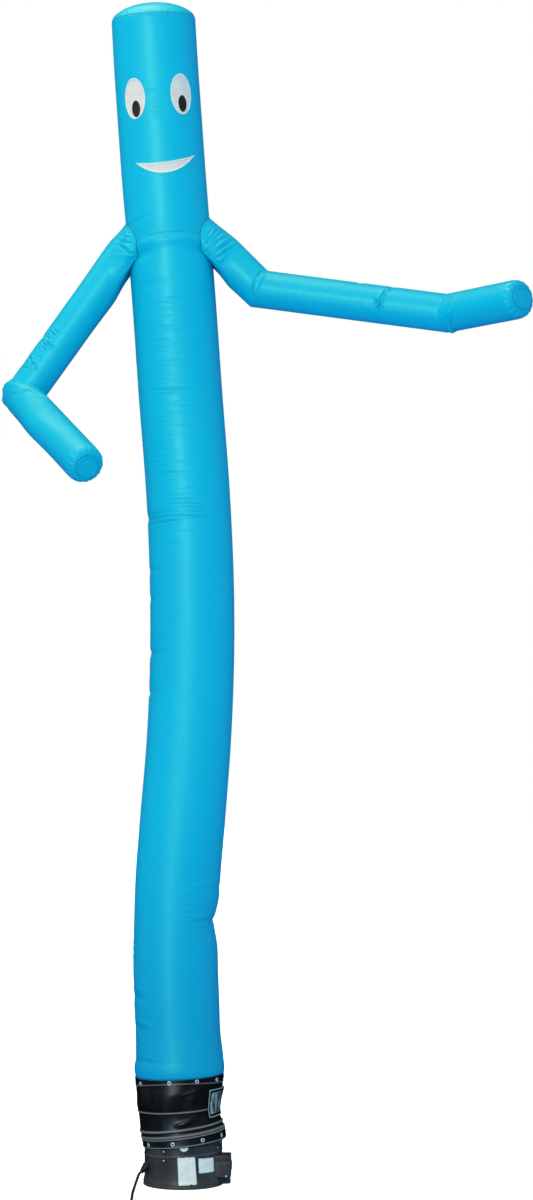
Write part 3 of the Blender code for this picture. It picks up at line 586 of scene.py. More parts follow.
# The base: a flanged disc with a tab under the switch box.
BASE_RADIUS, TAB_REACH, TAB_LOW, TAB_HIGH, TAB_CORNER = 0.206, 0.243, -0.020, 0.080, 0.024
base_outline = np.concatenate(
    [
        arc((0.0, 0.0), BASE_RADIUS, 23.4, 353.9, 200),
        arc((TAB_REACH - TAB_CORNER, TAB_LOW + TAB_CORNER), TAB_CORNER, -90.0, 0.0, 12),
        arc((TAB_REACH - TAB_CORNER, TAB_HIGH - TAB_CORNER), TAB_CORNER, 0.0, 90.0, 12),
    ]
)
BASE_PROFILE = (
    (0.0000, 0.0040), (0.0006, 0.0016), (0.0022, 0.0004), (0.0060, 0.0000), (0.0130, 0.0006),
    (0.0172, 0.0010), (0.0192, 0.0020), (0.0200, 0.0038),
)
base = piece("flanged_base", [solid(moulding(base_outline, BASE_PROFILE))], black_plastic)
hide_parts("blower_base")


# The switch box: a rounded box with a lidded front, let into the drum's side, and its rocker.
BOX_LOW, BOX_HIGH, BOX_CORNER = (0.120, -0.112, 0.048), (0.247, 0.006, 0.158), 0.010


def rounded_rectangle(low, high, corner, steps):
    """The outline of a rectangle with round corners, anticlockwise."""
    (x0, y0), (x1, y1) = low, high
    x0, y0, x1, y1 = x0 + corner, y0 + corner, x1 - corner, y1 - corner
    middles = ((x1, y1, 0.0), (x0, y1, 90.0), (x0, y0, 180.0), (x1, y0, 270.0))
    return np.concatenate([arc((x, y), corner, a, a + 90.0, steps) for x, y, a in middles])


box_outline = rounded_rectangle(BOX_LOW[:2], BOX_HIGH[:2], BOX_CORNER, 8)
z0, z1 = BOX_LOW[2], BOX_HIGH[2]
box_profile = (
    (z0, 0.0062), (z0 + 0.0006, 0.0034), (z0 + 0.0022, 0.0012), (z0 + 0.0052, 0.0),
    (z0 + 0.030, 0.0), (z1 - 0.0310, 0.0), (z1 - 0.0304, 0.0004), (z1 - 0.0300, 0.0014),
    (z1 - 0.0288, 0.0014), (z1 - 0.0284, 0.0004), (z1 - 0.0278, 0.0), (z1 - 0.0052, 0.0),
    (z1 - 0.0022, 0.0012), (z1 - 0.0006, 0.0034), (z1, 0.0062),
)
box_body = solid(moulding(box_outline, box_profile))


def on_front(points):
    """Points of a form built flat, in (across, up, out), set on the box's front."""
    return np.stack([points[..., 0], BOX_LOW[1] - points[..., 2], points[..., 1]], axis=-1)


def on_side(points):
    """The same, set on the box's right side."""
    return np.stack([BOX_HIGH[0] + points[..., 2], points[..., 0], points[..., 1]], axis=-1)


panel_outline = rounded_rectangle((0.178, 0.060), (0.236, 0.120), 0.006, 6)
PANEL_PROFILE = ((-0.0020, 0.0), (0.0004, 0.0), (0.0012, 0.0005), (0.0014, 0.0014))
box_panel = solid(on_front(moulding(panel_outline, PANEL_PROFILE)))
switch_box = piece("switch_housing", [box_body, box_panel], black_plastic)
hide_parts("switch_box")

rocker_frame = rounded_rectangle((-0.070, 0.078), (-0.036, 0.128), 0.003, 5)
rocker_key = rounded_rectangle((-0.0655, 0.083), (-0.0405, 0.123), 0.002, 5)
FRAME_PROFILE = ((-0.002, 0.0), (0.0012, 0.0), (0.0018, 0.0006), (0.0018, 0.0026), (0.0004, 0.0029))
KEY_PROFILE = ((-0.002, 0.0), (0.0028, 0.0), (0.0036, 0.0006), (0.0038, 0.0018))
rocker_parts = [
    solid(on_side(moulding(rocker_frame, FRAME_PROFILE))),
    solid(on_side(moulding(rocker_key, KEY_PROFILE))),
]
rocker = piece("rocker_switch", rocker_parts, black_rubber)


# The strain relief: a ribbed rubber boot, tapering from its collar on the drum to the lead.
boot_along = np.linspace(-0.022, GLAND_LONG, 120)
boot_radius = np.interp(
    boot_along,
    (-0.022, 0.0100, 0.0125, 0.0150, 0.0170, 0.0300, 0.0470, 0.0480),
    (0.0230, 0.0230, 0.0226, 0.0208, 0.0200, 0.0165, 0.0112, 0.0098),
)
GROOVE_DEEP, GROOVE_PITCH, GROOVES_FROM, GROOVES_TO = 0.0011, 0.0055, 0.017, 0.045
grooved = np.sin((boot_along - 0.0150) * 2 * math.pi / GROOVE_PITCH) > 0.35
grooved = grooved & (boot_along > GROOVES_FROM) & (boot_along < GROOVES_TO)
boot_radius -= GROOVE_DEEP * grooved
boot_rings = turned(np.stack([boot_along, boot_radius], axis=-1), GLAND_SEAT, GLAND_DIRECTION, 48)
boot = piece("strain_relief", [solid(boot_rings)], black_rubber)
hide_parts("cord_gland")


# Rivets: a white domed head on a black washer, most of them in pairs across the seam, and one
# on the switch box's front. By azimuth and height.
RIVETS = (
    (-28, 0.188), (-28, 0.143), (62, 0.196), (72, 0.219),
    (152, 0.188), (152, 0.143), (242, 0.188), (242, 0.143),
)
RIVET_HEAD = (
    (-0.001, 0.0042), (0.0004, 0.0042), (0.0014, 0.0038), (0.0022, 0.0029), (0.0027, 0.0016),
)
WASHER = ((-0.001, 0.0085), (0.0006, 0.0085), (0.0011, 0.0080), (0.0012, 0.0070))
head_parts = []
washer_parts = []
for rivet_azimuth, rivet_height in RIVETS:
    rivet_seat = drum_point(np.array(float(rivet_azimuth)), rivet_height)
    rivet_out = (math.sin(math.radians(rivet_azimuth)), -math.cos(math.radians(rivet_azimuth)), 0.0)
    head_parts.append(solid(turned(RIVET_HEAD, rivet_seat, rivet_out, 20)))
    washer_parts.append(solid(turned(WASHER, rivet_seat, rivet_out, 24)))
box_rivet_seat = (0.221, BOX_LOW[1], 0.0545)
head_parts.append(solid(turned(RIVET_HEAD, box_rivet_seat, (0.0, -1.0, 0.0), 20)))
enamel = Bench(bpy.data.materials.new("white_enamel"))
enamel_chip = enamel.noise(enamel.place(), 420.0, 3.0).rise(0.60, 0.68)
white_enamel = enamel.finish(
    {
        "Base Color": enamel.blend(enamel_chip, paint(232, 231, 228), paint(150, 150, 150)),
        "Roughness": enamel_chip * 0.3 + 0.25,
    }
)
rivet_heads = piece("rivet_heads", head_parts, white_enamel)
rivet_washers = piece("rivet_washers", washer_parts, black_rubber)


# Bare plates: two white rectangles and a white disc of coated film, stuck to the drum.
film = Bench(bpy.data.materials.new("white_film"))
film_stain = film.noise(film.place(), 38.0, 5.0).rise(0.35, 0.8)
film_edge = film.mark("edge")
film_soiled = (film_stain * 0.35 + (1.0 - film_edge.rise(0.0, 0.006)) * 0.5).math("MINIMUM", 1.0)
white_film = film.finish(
    {
        "Base Color": film.blend(film_soiled, paint(248, 230, 216), paint(190, 180, 170)),
        "Roughness": film_stain * 0.15 + 0.38,
        "Normal": film.relief(film_stain, 0.0004),
    }
)


def drum_plate(corners, squareness):
    """A plate on the drum: the four (azimuth, height) corners blended over a rounded square, its
    outermost ring let into the wall."""
    turn = np.linspace(0.0, 2 * math.pi, 97)[None, :]
    share = np.array([1.0, 0.995, 0.97, 0.9, 0.7, 0.4, 0.0])[:, None]
    rim = 0.00075 - 0.0012 * (share > 0.999)
    x = share * squared(np.cos(turn), squareness)
    y = share * squared(np.sin(turn), squareness)
    low_left, low_right, high_right, high_left = (np.array(corner, float) for corner in corners)
    x = (x[..., None] + 1) / 2
    y = (y[..., None] + 1) / 2
    low, high = low_left * (1 - x) + low_right * x, high_left * (1 - x) + high_right * x
    flat = low * (1 - y) + high * y
    points = drum_point(flat[..., 0], flat[..., 1], rim + 0.0 * turn)
    edge = (1.0 - share) * 0.05 + 0.0 * turn
    return surface(points, wraps=True, poles=(False, True), marks={"edge": edge})


plates = piece(
    "bare_plates",
    [
        drum_plate(((-5, 0.022), (22, 0.025), (19, 0.164), (-7, 0.163)), 0.10),
        drum_plate(((25, 0.079), (53, 0.079), (52, 0.151), (24, 0.155)), 0.10),
        drum_plate(((-4, 0.1910), (9.2, 0.1910), (9.2, 0.2370), (-4, 0.2370)), 1.0),
    ],
    white_film,
    thickness=0.0006,
)


# The air intake: a framed panel of upright slots round the back of the lower housing.
INTAKE_FROM, INTAKE_TO, INTAKE_LOW, INTAKE_HIGH = 105.0, 225.0, 0.060, 0.138
INTAKE_FRAME, SLOT_PITCH = 0.007, 5.0
intake_azimuth = np.linspace(INTAKE_FROM, INTAKE_TO, 289)[None, :]
intake_height = np.linspace(INTAKE_LOW, INTAKE_HIGH, 27)[:, None]
from_low, from_high = intake_height - INTAKE_LOW, INTAKE_HIGH - intake_height
from_first, from_last = intake_azimuth - INTAKE_FROM, INTAKE_TO - intake_azimuth
slot_wave = np.abs((from_first / SLOT_PITCH) % 1.0 - 0.5)
intake_inside = smooth_step((from_low - INTAKE_FRAME) / 0.003)
intake_inside = intake_inside * smooth_step((from_high - INTAKE_FRAME) / 0.003)
intake_inside = intake_inside * (from_first > 3.0) * (from_last > 3.0)
# The slots' floors are marked to be painted near black: painted shade for the openings' depth.
slot_and_shade = intake_inside * smooth_step((0.32 - slot_wave) / 0.10)
intake_rim = np.minimum(smooth_step(from_low / 0.004), smooth_step(from_high / 0.004))
intake_ends = smooth_step(from_first / 1.2) * smooth_step(from_last / 1.2)
intake_out = -0.0008 + 0.0040 * intake_rim * intake_ends - 0.0026 * slot_and_shade
grille = Bench(bpy.data.materials.new("grille_plastic"))
# The slots are painted near black: painted shade in the openings.
grille_slot_shade = grille.mark("slot_and_shade")
grille_grain = grille.noise(grille.place(), 620.0, 3.0)
grille_dust = grille.noise(grille.place(), 30.0, 4.0)
grille_bar = grille.blend(grille_dust, paint(24, 24, 25), paint(52, 51, 50))
grille_plastic = grille.finish(
    {
        "Base Color": grille.blend(grille_slot_shade, grille_bar, paint(3, 3, 3)),
        "Roughness": grille_slot_shade * 0.4 + 0.42,
        "Normal": grille.relief(grille_grain, 0.0004),
    }
)
intake = piece(
    "air_intake",
    [surface(drum_point(intake_azimuth, intake_height, intake_out), marks={"slot_and_shade": slot_and_shade})],
    grille_plastic,
    thickness=0.0020,
)


# ---------------------------------------------------------------- collar
# A sleeve of glossy coated cloth that joins the cloth figure to the drum. Piped welts and a
# gathered band run round it, and a strap is drawn round each end through pressed eyelets.

# Its form, up it: height, how far its middle stands to the right, radius, and how far its right
# side stands above its middle.
COLLAR = np.array(
    [
        (0.2060, 0.0072, 0.2110, 0.0230),
        (0.2520, 0.0010, 0.2112, 0.0280),
        (0.2880, -0.0090, 0.2105, 0.0280),
        (0.3350, -0.0195, 0.2060, 0.0200),
        (0.3730, -0.0240, 0.2053, 0.0140),
        (0.4150, -0.0262, 0.2130, 0.0135),
        (0.4780, -0.0212, 0.2215, 0.0120),
        (0.5520, -0.0215, 0.2262, 0.0100),
    ]
).T


def smooth_column(at_rows, values, at):
    """The cubic through a table's values, each row's slope being that of its two neighbours."""
    slope = np.gradient(values, at_rows)
    i = np.clip(np.searchsorted(at_rows, at) - 1, 0, len(at_rows) - 2)
    step = at_rows[i + 1] - at_rows[i]
    t = (at - at_rows[i]) / step
    return (
        (1 + 2 * t) * (1 - t) ** 2 * values[i]
        + t * (1 - t) ** 2 * step * slope[i]
        + t * t * (3 - 2 * t) * values[i + 1]
        + t * t * (t - 1) * step * slope[i + 1]
    )


LIP_SHARE, LIP_AWAY, RIDGE_SPREAD = 0.4, 1.9, 2.2


def folds(rows, around, along, radius):
    """How far folds draw a sheet in, in metres.

    A row is a fold's first point, its last point, its depth and its half width: degrees round,
    metres along, and millimetres. It is a bell curve across and half a cosine wave along, so it
    is deepest half way and gone at its ends, and a low lip stands on each side of it. A negative
    depth is a ridge, which has no lips. Drawn with degrees to the right and metres up, it is
    gentler on the right of its course, which is below it where it runs to the right.
    """
    depth = np.zeros(np.broadcast(around, along).shape)
    arc_long = math.radians(1.0) * radius
    for first, low, last, high, deep, half in rows:
        run, climb = (last - first) * arc_long, high - low
        long = math.hypot(run, climb)
        x = ((around - (first + last) / 2 + 180) % 360 - 180) * arc_long
        y = along - (low + high) / 2
        share = 2 * (x * run + y * climb) / long**2
        away = (y * run - x * climb) / long / (0.001 * half)
        away = np.where((away < 0) & (deep < 0), away / RIDGE_SPREAD, away)
        fade = np.cos(np.clip(share, -1, 1) * math.pi / 2) ** 1.5
        lips = LIP_SHARE * (deep > 0) * np.exp(-((np.abs(away) - LIP_AWAY) ** 2))
        depth += 0.001 * deep * fade * (np.exp(-(away**2)) - lips)
    return depth


def bead(at, middle, half, proud):
    """A half-round bead, proud of the sheet between its two edges."""
    return proud * np.sqrt(np.clip(1 - ((at - middle) / half) ** 2, 0, 1))


def collar_point(azimuth, height, out=0.0):
    """A point on the collar's plain form by azimuth and height, out from it: a ring at each
    height, tilted up to the right."""
    turn = np.radians(azimuth)
    radius = smooth_column(COLLAR[0], COLLAR[2], height) + out
    sideways = smooth_column(COLLAR[0], COLLAR[1], height)
    tall = height + smooth_column(COLLAR[0], COLLAR[3], height) * np.sin(turn)
    across = sideways + radius * np.sin(turn)
    return np.stack([across, -radius * np.cos(turn) + 0.0 * sideways, tall], axis=-1)


# Its creases, as rows for folds.
COLLAR_FOLDS = (
    (-50, 0.470, 26, 0.476, -13.5, 38), (8, 0.384, 44, 0.398, -6.0, 14),
    (3, 0.468, 40, 0.516, -9.5, 7), (2, 0.456, 32, 0.497, 4.0, 8), (10, 0.446, 30, 0.466, -2.6, 5),
    (16, 0.434, 34, 0.452, -2.0, 5), (-9, 0.319, 29, 0.353, -13.0, 9),
    (-2, 0.302, 32, 0.330, 3.0, 7), (8, 0.356, 34, 0.380, 2.0, 6),
    (-70, 0.420, -40, 0.432, -1.2, 8), (-60, 0.345, -34, 0.350, 1.2, 7),
    (-40, 0.470, -14, 0.486, 1.3, 9), (-85, 0.480, -60, 0.462, 1.5, 8),
    (100, 0.350, 128, 0.372, -4.0, 7), (112, 0.440, 146, 0.470, -3.0, 8),
    (150, 0.330, 178, 0.338, -4.5, 7), (168, 0.452, 200, 0.430, 2.6, 8),
    (190, 0.362, 226, 0.345, -3.2, 7), (214, 0.470, 248, 0.492, -2.8, 8),
    (232, 0.325, 262, 0.335, -3.6, 7), (240, 0.420, 268, 0.404, 2.0, 8),
    (130, 0.500, 165, 0.488, 2.2, 8),
)
# Its beads: height, half width, how proud, and how much prouder where it is gathered.
COLLAR_BEADS = (
    (0.2172, 0.0046, 0.0030, 0.0),
    (0.2562, 0.0040, 0.0038, 0.0),
    (0.2680, 0.0072, 0.0046, 0.0012),
    (0.2970, 0.0065, 0.0046, 0.0006),
    (0.3850, 0.0046, 0.0034, 0.0),
)
# Its piped edges, painted pale as highlights: height, half width and how pale.
COLLAR_PIPING_HIGHLIGHTS = (
    (0.2185, 0.0030, 1.0),
    (0.2572, 0.0026, 1.0),
    (0.2700, 0.0060, 0.75),
    (0.2985, 0.0048, 0.85),
    (0.3860, 0.0036, 0.85),
)
COLLAR_FOOT, COLLAR_TOP, COLLAR_RADIUS = 0.2120, 0.5517, 0.21
HOLLOW_DEEP, HOLLOW_HEIGHT, HOLLOW_HALF, SLACK = 0.0012, 0.284, 0.007, 0.0011


def collar_relief(azimuth, height):
    """How far the collar stands off its plain form: its beads, less the hollow under the gathered
    band and the folds, with a slack wave of five to the turn."""
    around = np.radians(azimuth)
    drawn = 0.5 + 0.5 * np.sin(around * 23 + 2.0 * np.sin(around * 3)) * np.sin(around * 7 + 1.3)
    out = 0.0
    for middle, half, proud, gathered in COLLAR_BEADS:
        out = out + bead(height, middle, half, proud + gathered * drawn)
    hollow = HOLLOW_DEEP * drawn * np.exp(-(((height - HOLLOW_HEIGHT) / HOLLOW_HALF) ** 2))
    slack = SLACK * np.sin(around * 5 + height * 40) * smooth_step((height - 0.30) / 0.05)
    return out - hollow + slack - folds(COLLAR_FOLDS, azimuth, height, COLLAR_RADIUS)


vinyl = Bench(bpy.data.materials.new("black_vinyl"))
vinyl_place = vinyl.place()
# The piping mark paints the welts and the top strap's lower edge pale: a painted highlight.
vinyl_piping_highlight = vinyl.mark("piping_highlight")
vinyl_dust = vinyl.noise(vinyl_place, 14.0, 6.0, (1.0, 1.0, 0.5)).rise(0.46, 0.80)
vinyl_crinkle = vinyl.noise(vinyl_place, 42.0, 4.0, (1.0, 1.0, 2.2))
vinyl_scrim = vinyl.noise(vinyl_place, 1100.0, 1.0)
vinyl_black = vinyl.blend(vinyl_dust, paint(23, 20, 17), paint(44, 39, 34))
black_vinyl = vinyl.finish(
    {
        "Base Color": vinyl.blend(vinyl_piping_highlight, vinyl_black, paint(136, 126, 118)),
        "Roughness": vinyl_dust * 0.12 + vinyl_piping_highlight * 0.18 + 0.34,
        "Specular IOR Level": 1.0,
        "Specular Tint": BLUE_SHEEN,
        "Normal": vinyl.relief(vinyl_scrim, 0.00015, vinyl.relief(vinyl_crinkle, 0.0003)),
    }
)
collar_azimuth = np.linspace(-90.0, 270.0, 193)[None, :]
collar_height = np.concatenate(
    [
        np.arange(COLLAR_FOOT, 0.2770, 0.0009),
        np.arange(0.2770, COLLAR_TOP, 0.0042),
        np.arange(0.2895, 0.3050, 0.0010),
        np.arange(0.3795, 0.3905, 0.0009),
        [COLLAR_TOP],
    ]
)
collar_height = np.unique(collar_height.round(5))[:, None]
collar_out = collar_relief(collar_azimuth, collar_height)
# The welts' piping is marked to be painted pale: a painted highlight.
piping_highlight = 0.0
for piping_middle, piping_half, pale in COLLAR_PIPING_HIGHLIGHTS:
    piping_highlight = piping_highlight + pale * np.exp(-(((collar_height - piping_middle) / piping_half) ** 4))
piping_highlight = np.minimum(piping_highlight, 1.0) + 0.0 * collar_azimuth
collar_points = collar_point(collar_azimuth, collar_height, collar_out)
collar_surface = surface(collar_points, wraps=True, marks={"piping_highlight": piping_highlight})
collar = piece("vinyl_collar", [collar_surface], black_vinyl, thickness=0.0012)
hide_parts("collar")

# The two straps are strips of the same coated cloth, each with nine holes punched in it. A ring
# of pressed steel is set in each hole, by azimuth and height.
STRAP_OFF, STRAP_THICK = 0.0009, 0.0015
TOP_STRAP_LOW, TOP_STRAP_NARROWING, BOTTOM_STRAP = 0.5115, 0.020, (0.2215, 0.2520)
EDGE_ROLL, EDGE_SHARE, PUCKER_TALL, PUCKER_DEGREES = 0.0010, 0.09, 0.0011, 7.0
EYELETS = {
    "top": (
        (-59, 0.5310), (-11, 0.5390), (25, 0.5390), (59, 0.5330), (97, 0.5310), (137, 0.5310),
        (177, 0.5310), (217, 0.5310), (257, 0.5310),
    ),
    "bottom": (
        (-56, 0.2350), (-14, 0.2350), (28, 0.2350), (65, 0.2350), (102, 0.2350), (140, 0.2350),
        (180, 0.2350), (220, 0.2350), (262, 0.2350),
    ),
}
EYELET_HOLE = 0.005
EYELET_PROFILE = (
    (-0.0006, 0.0048), (0.0010, 0.0049), (0.0020, 0.0056), (0.0026, 0.0068), (0.0027, 0.0080),
    (0.0022, 0.0094), (0.0013, 0.0105), (0.0003, 0.0111), (-0.0006, 0.0108), (-0.0006, 0.0048),
)
steel = Bench(bpy.data.materials.new("eyelet_steel"))
steel_worn = steel.noise(steel.place(), 240.0, 4.0)
eyelet_steel = steel.finish(
    {
        "Base Color": steel.blend(steel_worn, (0.80, 0.79, 0.82, 1.0), (0.92, 0.91, 0.93, 1.0)),
        "Metallic": 0.55,
        "Roughness": steel_worn * 0.20 + 0.34,
    }
)


def strap_span(row, azimuth):
    """The lower and upper edge of a strap: the top one is narrower in front, where its lower
    edge rises by the square of the azimuth's cosine."""
    if row == "top":
        narrowing = np.clip(np.cos(np.radians(azimuth + 5)), 0, 1) ** 2
        return TOP_STRAP_LOW + TOP_STRAP_NARROWING * narrowing, COLLAR_TOP + 0.0 * azimuth
    return BOTTOM_STRAP[0] + 0.0 * azimuth, BOTTOM_STRAP[1] + 0.0 * azimuth


def strap_relief(row, azimuth, share):
    """The strap's two edges are rolled, it dimples at each eyelet, and puckers between them."""
    rolled = np.exp(-((share / EDGE_SHARE) ** 2)) + np.exp(-(((1 - share) / EDGE_SHARE) ** 2))
    pucker = 0.0
    for place, _ in EYELETS[row]:
        away = (azimuth - place + 180) % 360 - 180
        pucker = pucker + PUCKER_TALL * np.cos(away * 1.1) * np.exp(-((away / PUCKER_DEGREES) ** 2))
    return EDGE_ROLL * rolled - 0.5 * pucker * np.sin(math.pi * share)


def eyelet_seat(azimuth, height):
    """Where an eyelet sits on its strap, and the way it faces."""
    out = STRAP_OFF + STRAP_THICK
    here = collar_point(np.array(float(azimuth)), height, out)
    side = collar_point(np.array(azimuth + 1.0), height, out) - here
    up = collar_point(np.array(float(azimuth)), height + 0.004, out) - here
    return here, unit(np.cross(side, up))


for row, eyelet_places in EYELETS.items():
    strap_azimuth = np.linspace(-90.0, 270.0, 361)[None, :]
    strap_share = np.linspace(0.0, 1.0, 17)[:, None]
    strap_low, strap_high = strap_span(row, strap_azimuth)
    strap_height = strap_low + (strap_high - strap_low) * strap_share
    strap_out = STRAP_OFF + STRAP_THICK + strap_relief(row, strap_azimuth, strap_share)
    if row == "bottom":
        strap_out = strap_out + 0.0004
    # The top strap's lower edge is painted pale, paler in front: a painted highlight.
    strap_painted_highlight = 0.9 * np.exp(-(((strap_azimuth + 2) / 22) ** 2)) * np.sin(strap_azimuth * 0.9) ** 2
    strap_painted_highlight = 0.80 + strap_painted_highlight if row == "top" else 0.0
    strap_edge_highlight = np.exp(-((strap_share / 0.16) ** 2)) * strap_painted_highlight
    strap_points = collar_point(strap_azimuth, strap_height, strap_out)
    strap_piping_highlight = 0.9 * strap_edge_highlight + 0.0 * strap_azimuth
    strap_surface = surface(strap_points, wraps=True, marks={"piping_highlight": strap_piping_highlight})
    strap = piece(f"{row}_eyelet_strap", [strap_surface], black_vinyl, thickness=0.0013)
    hole_parts = []
    ring_parts = []
    for eyelet_azimuth, eyelet_height in eyelet_places:
        seat, facing = eyelet_seat(eyelet_azimuth, eyelet_height)
        hole = turned(((-0.006, EYELET_HOLE), (0.006, EYELET_HOLE)), seat, facing, 20)
        hole_parts.append(solid(hole))
        ring = turned(EYELET_PROFILE[::-1], seat, facing, 32)
        ring_parts.append(surface(ring, wraps=True, loops=True))
    punch = piece(f"{row}_punch", hole_parts, black_vinyl)
    punched = strap.modifiers.new("holes", "BOOLEAN")
    punched.solver = "EXACT"
    punched.object = punch
    bpy.context.view_layer.update()
    graph = bpy.context.evaluated_depsgraph_get()
    holed = bpy.data.meshes.new_from_object(strap.evaluated_get(graph), depsgraph=graph)
    strap.modifiers.clear()
    strap.data = holed
    bpy.data.objects.remove(punch, do_unlink=True)
    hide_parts(f"{row}_strap")
    rings = piece(f"{row}_eyelets", ring_parts, eyelet_steel)
    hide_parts(*(f"{row}_eyelet_{number}" for number in range(1, 10)))

# The pocket: a clear film window, cloudy with age, in a welted frame on the collar's right side.
POCKET_AZIMUTHS, POCKET_HEIGHTS = (43.0, 88.0), (0.336, 0.489)
POCKET_OFF, POCKET_WELT = 0.0068, 0.0045
pocket_azimuth = np.linspace(*POCKET_AZIMUTHS, 73)[None, :]
pocket_height = np.linspace(*POCKET_HEIGHTS, 88)[:, None]
pocket_across = (pocket_azimuth - POCKET_AZIMUTHS[0]) / np.ptp(POCKET_AZIMUTHS)
pocket_up = (pocket_height - POCKET_HEIGHTS[0]) / np.ptp(POCKET_HEIGHTS)
from_left_right = 0.165 * np.minimum(pocket_across, 1 - pocket_across)
from_top_bottom = 0.153 * np.minimum(pocket_up, 1 - pocket_up)
from_edge = np.minimum(from_left_right, from_top_bottom)
pocket_lean = pocket_azimuth + 4.5 * (1 - pocket_up) * (1 - pocket_across)
pocket_welt = bead(from_edge, POCKET_WELT, POCKET_WELT, 0.0030)
pocket_sunk = 0.0012 * smooth_step((from_edge - 0.010) / 0.006)
pocket_wave = 0.0009 * np.sin(pocket_up * 21 + 3 * pocket_across)
pocket_wave = pocket_wave * smooth_step((from_edge - 0.012) / 0.01)
pocket_out = POCKET_OFF + pocket_welt - pocket_sunk + pocket_wave
window = smooth_step((from_edge - 0.0185) / 0.003)
# The frame's welt is marked to be painted pale: a painted highlight.
pocket_welt_highlight = np.exp(-(((from_edge - POCKET_WELT) / 0.0026) ** 4))
cloudy = Bench(bpy.data.materials.new("window_film"))
cloudy_window = cloudy.mark("window")
cloudy_frame_highlight = cloudy.mark("piping_highlight")
cloudy_streak = cloudy.noise(cloudy.place(), 46.0, 4.0, (1.0, 1.0, 0.35))
cloudy_haze = cloudy.blend(cloudy_streak.rise(0.35, 0.70), paint(58, 57, 55), paint(176, 172, 164))
# The frame is black, with its welt painted pale as a highlight.
cloudy_frame = cloudy.blend(cloudy_frame_highlight, paint(9, 9, 10), paint(176, 172, 164))
window_film = cloudy.finish(
    {
        "Base Color": cloudy.blend(cloudy_window, cloudy_frame, cloudy_haze),
        "Roughness": cloudy_streak * 0.2 + 0.15,
        "Specular IOR Level": 0.5,
        "Normal": cloudy.relief(cloudy_streak, 0.0015),
    }
)
pocket_points = collar_point(pocket_lean, pocket_height, pocket_out)
pocket_surface = surface(pocket_points, marks={"window": window, "piping_highlight": pocket_welt_highlight})
pocket = piece("window_pocket", [pocket_surface], window_film, thickness=0.0010)
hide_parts("collar_pocket")


# ---------------------------------------------------------------- the body's cloth
# One tube of blue ripstop nylon, sewn up its left side and blown up tight. It buckles a little
# where the figure leans, and fine wrinkles lie across its front.

# Its form, up it: height, how far its middle stands to the right and forward, and radius.
BODY = np.array(
    [
        (0.552, -0.0215, 0.000, 0.2272),
        (0.585, -0.0215, 0.000, 0.2320),
        (0.640, -0.0215, 0.000, 0.2262),
        (0.729, -0.0270, 0.000, 0.2203),
        (0.934, -0.0361, 0.000, 0.2199),
        (1.139, -0.0426, 0.000, 0.2195),
        (1.344, -0.0385, 0.000, 0.2195),
        (1.550, -0.0325, 0.000, 0.2190),
        (1.859, -0.0091, 0.000, 0.2199),
        (2.273, 0.0235, 0.000, 0.2196),
        (2.481, 0.0343, 0.000, 0.2193),
        (2.793, 0.0418, 0.000, 0.2190),
        (3.107, 0.0382, 0.000, 0.2193),
        (3.526, 0.0188, 0.000, 0.2192),
        (4.074, -0.0235, 0.000, 0.2190),
        (4.580, -0.0593, 0.012, 0.2198),
        (4.842, -0.0803, 0.025, 0.2198),
        (5.271, -0.1157, 0.0565, 0.2205),
        (5.520, -0.1328, 0.0810, 0.2208),
        (5.830, -0.1529, 0.1170, 0.2206),
        (6.034, -0.1635, 0.1450, 0.2195),
    ]
).T
# Buckles: height, azimuth, reach to each side in degrees, depth, and half width up and down.
BUCKLES = (
    (0.640, -50, 60, 0.005, 0.020),
    (0.810, -55, 50, 0.006, 0.022),
    (0.965, -65, 45, 0.006, 0.020),
    (1.338, 90, 85, 0.024, 0.090),
    (1.350, 80, 60, 0.010, 0.018),
    (1.520, 75, 45, 0.005, 0.020),
    (2.510, -80, 45, 0.005, 0.018),
    (2.720, -75, 55, 0.008, 0.020),
    (3.010, -75, 45, 0.005, 0.018),
    (3.155, -70, 45, 0.005, 0.018),
    (3.440, -62, 60, 0.010, 0.022),
    (4.640, -25, 50, 0.004, 0.018),
    (4.808, -54, 52, 0.018, 0.026),
    (4.812, 62, 48, 0.016, 0.026),
    (4.866, -5, 75, -0.007, 0.022),
)
NECK_SEAM, NECK_DIP, NECK_LEAN = 4.905, 0.050, 0.017
NECK_PINCH, PINCH_ABOVE, PINCH_BELOW, UNEVENNESS = 0.0046, 0.050, 0.014, 0.0007
HEAD_RIM = 6.034
BODY_RADIUS = 0.2195

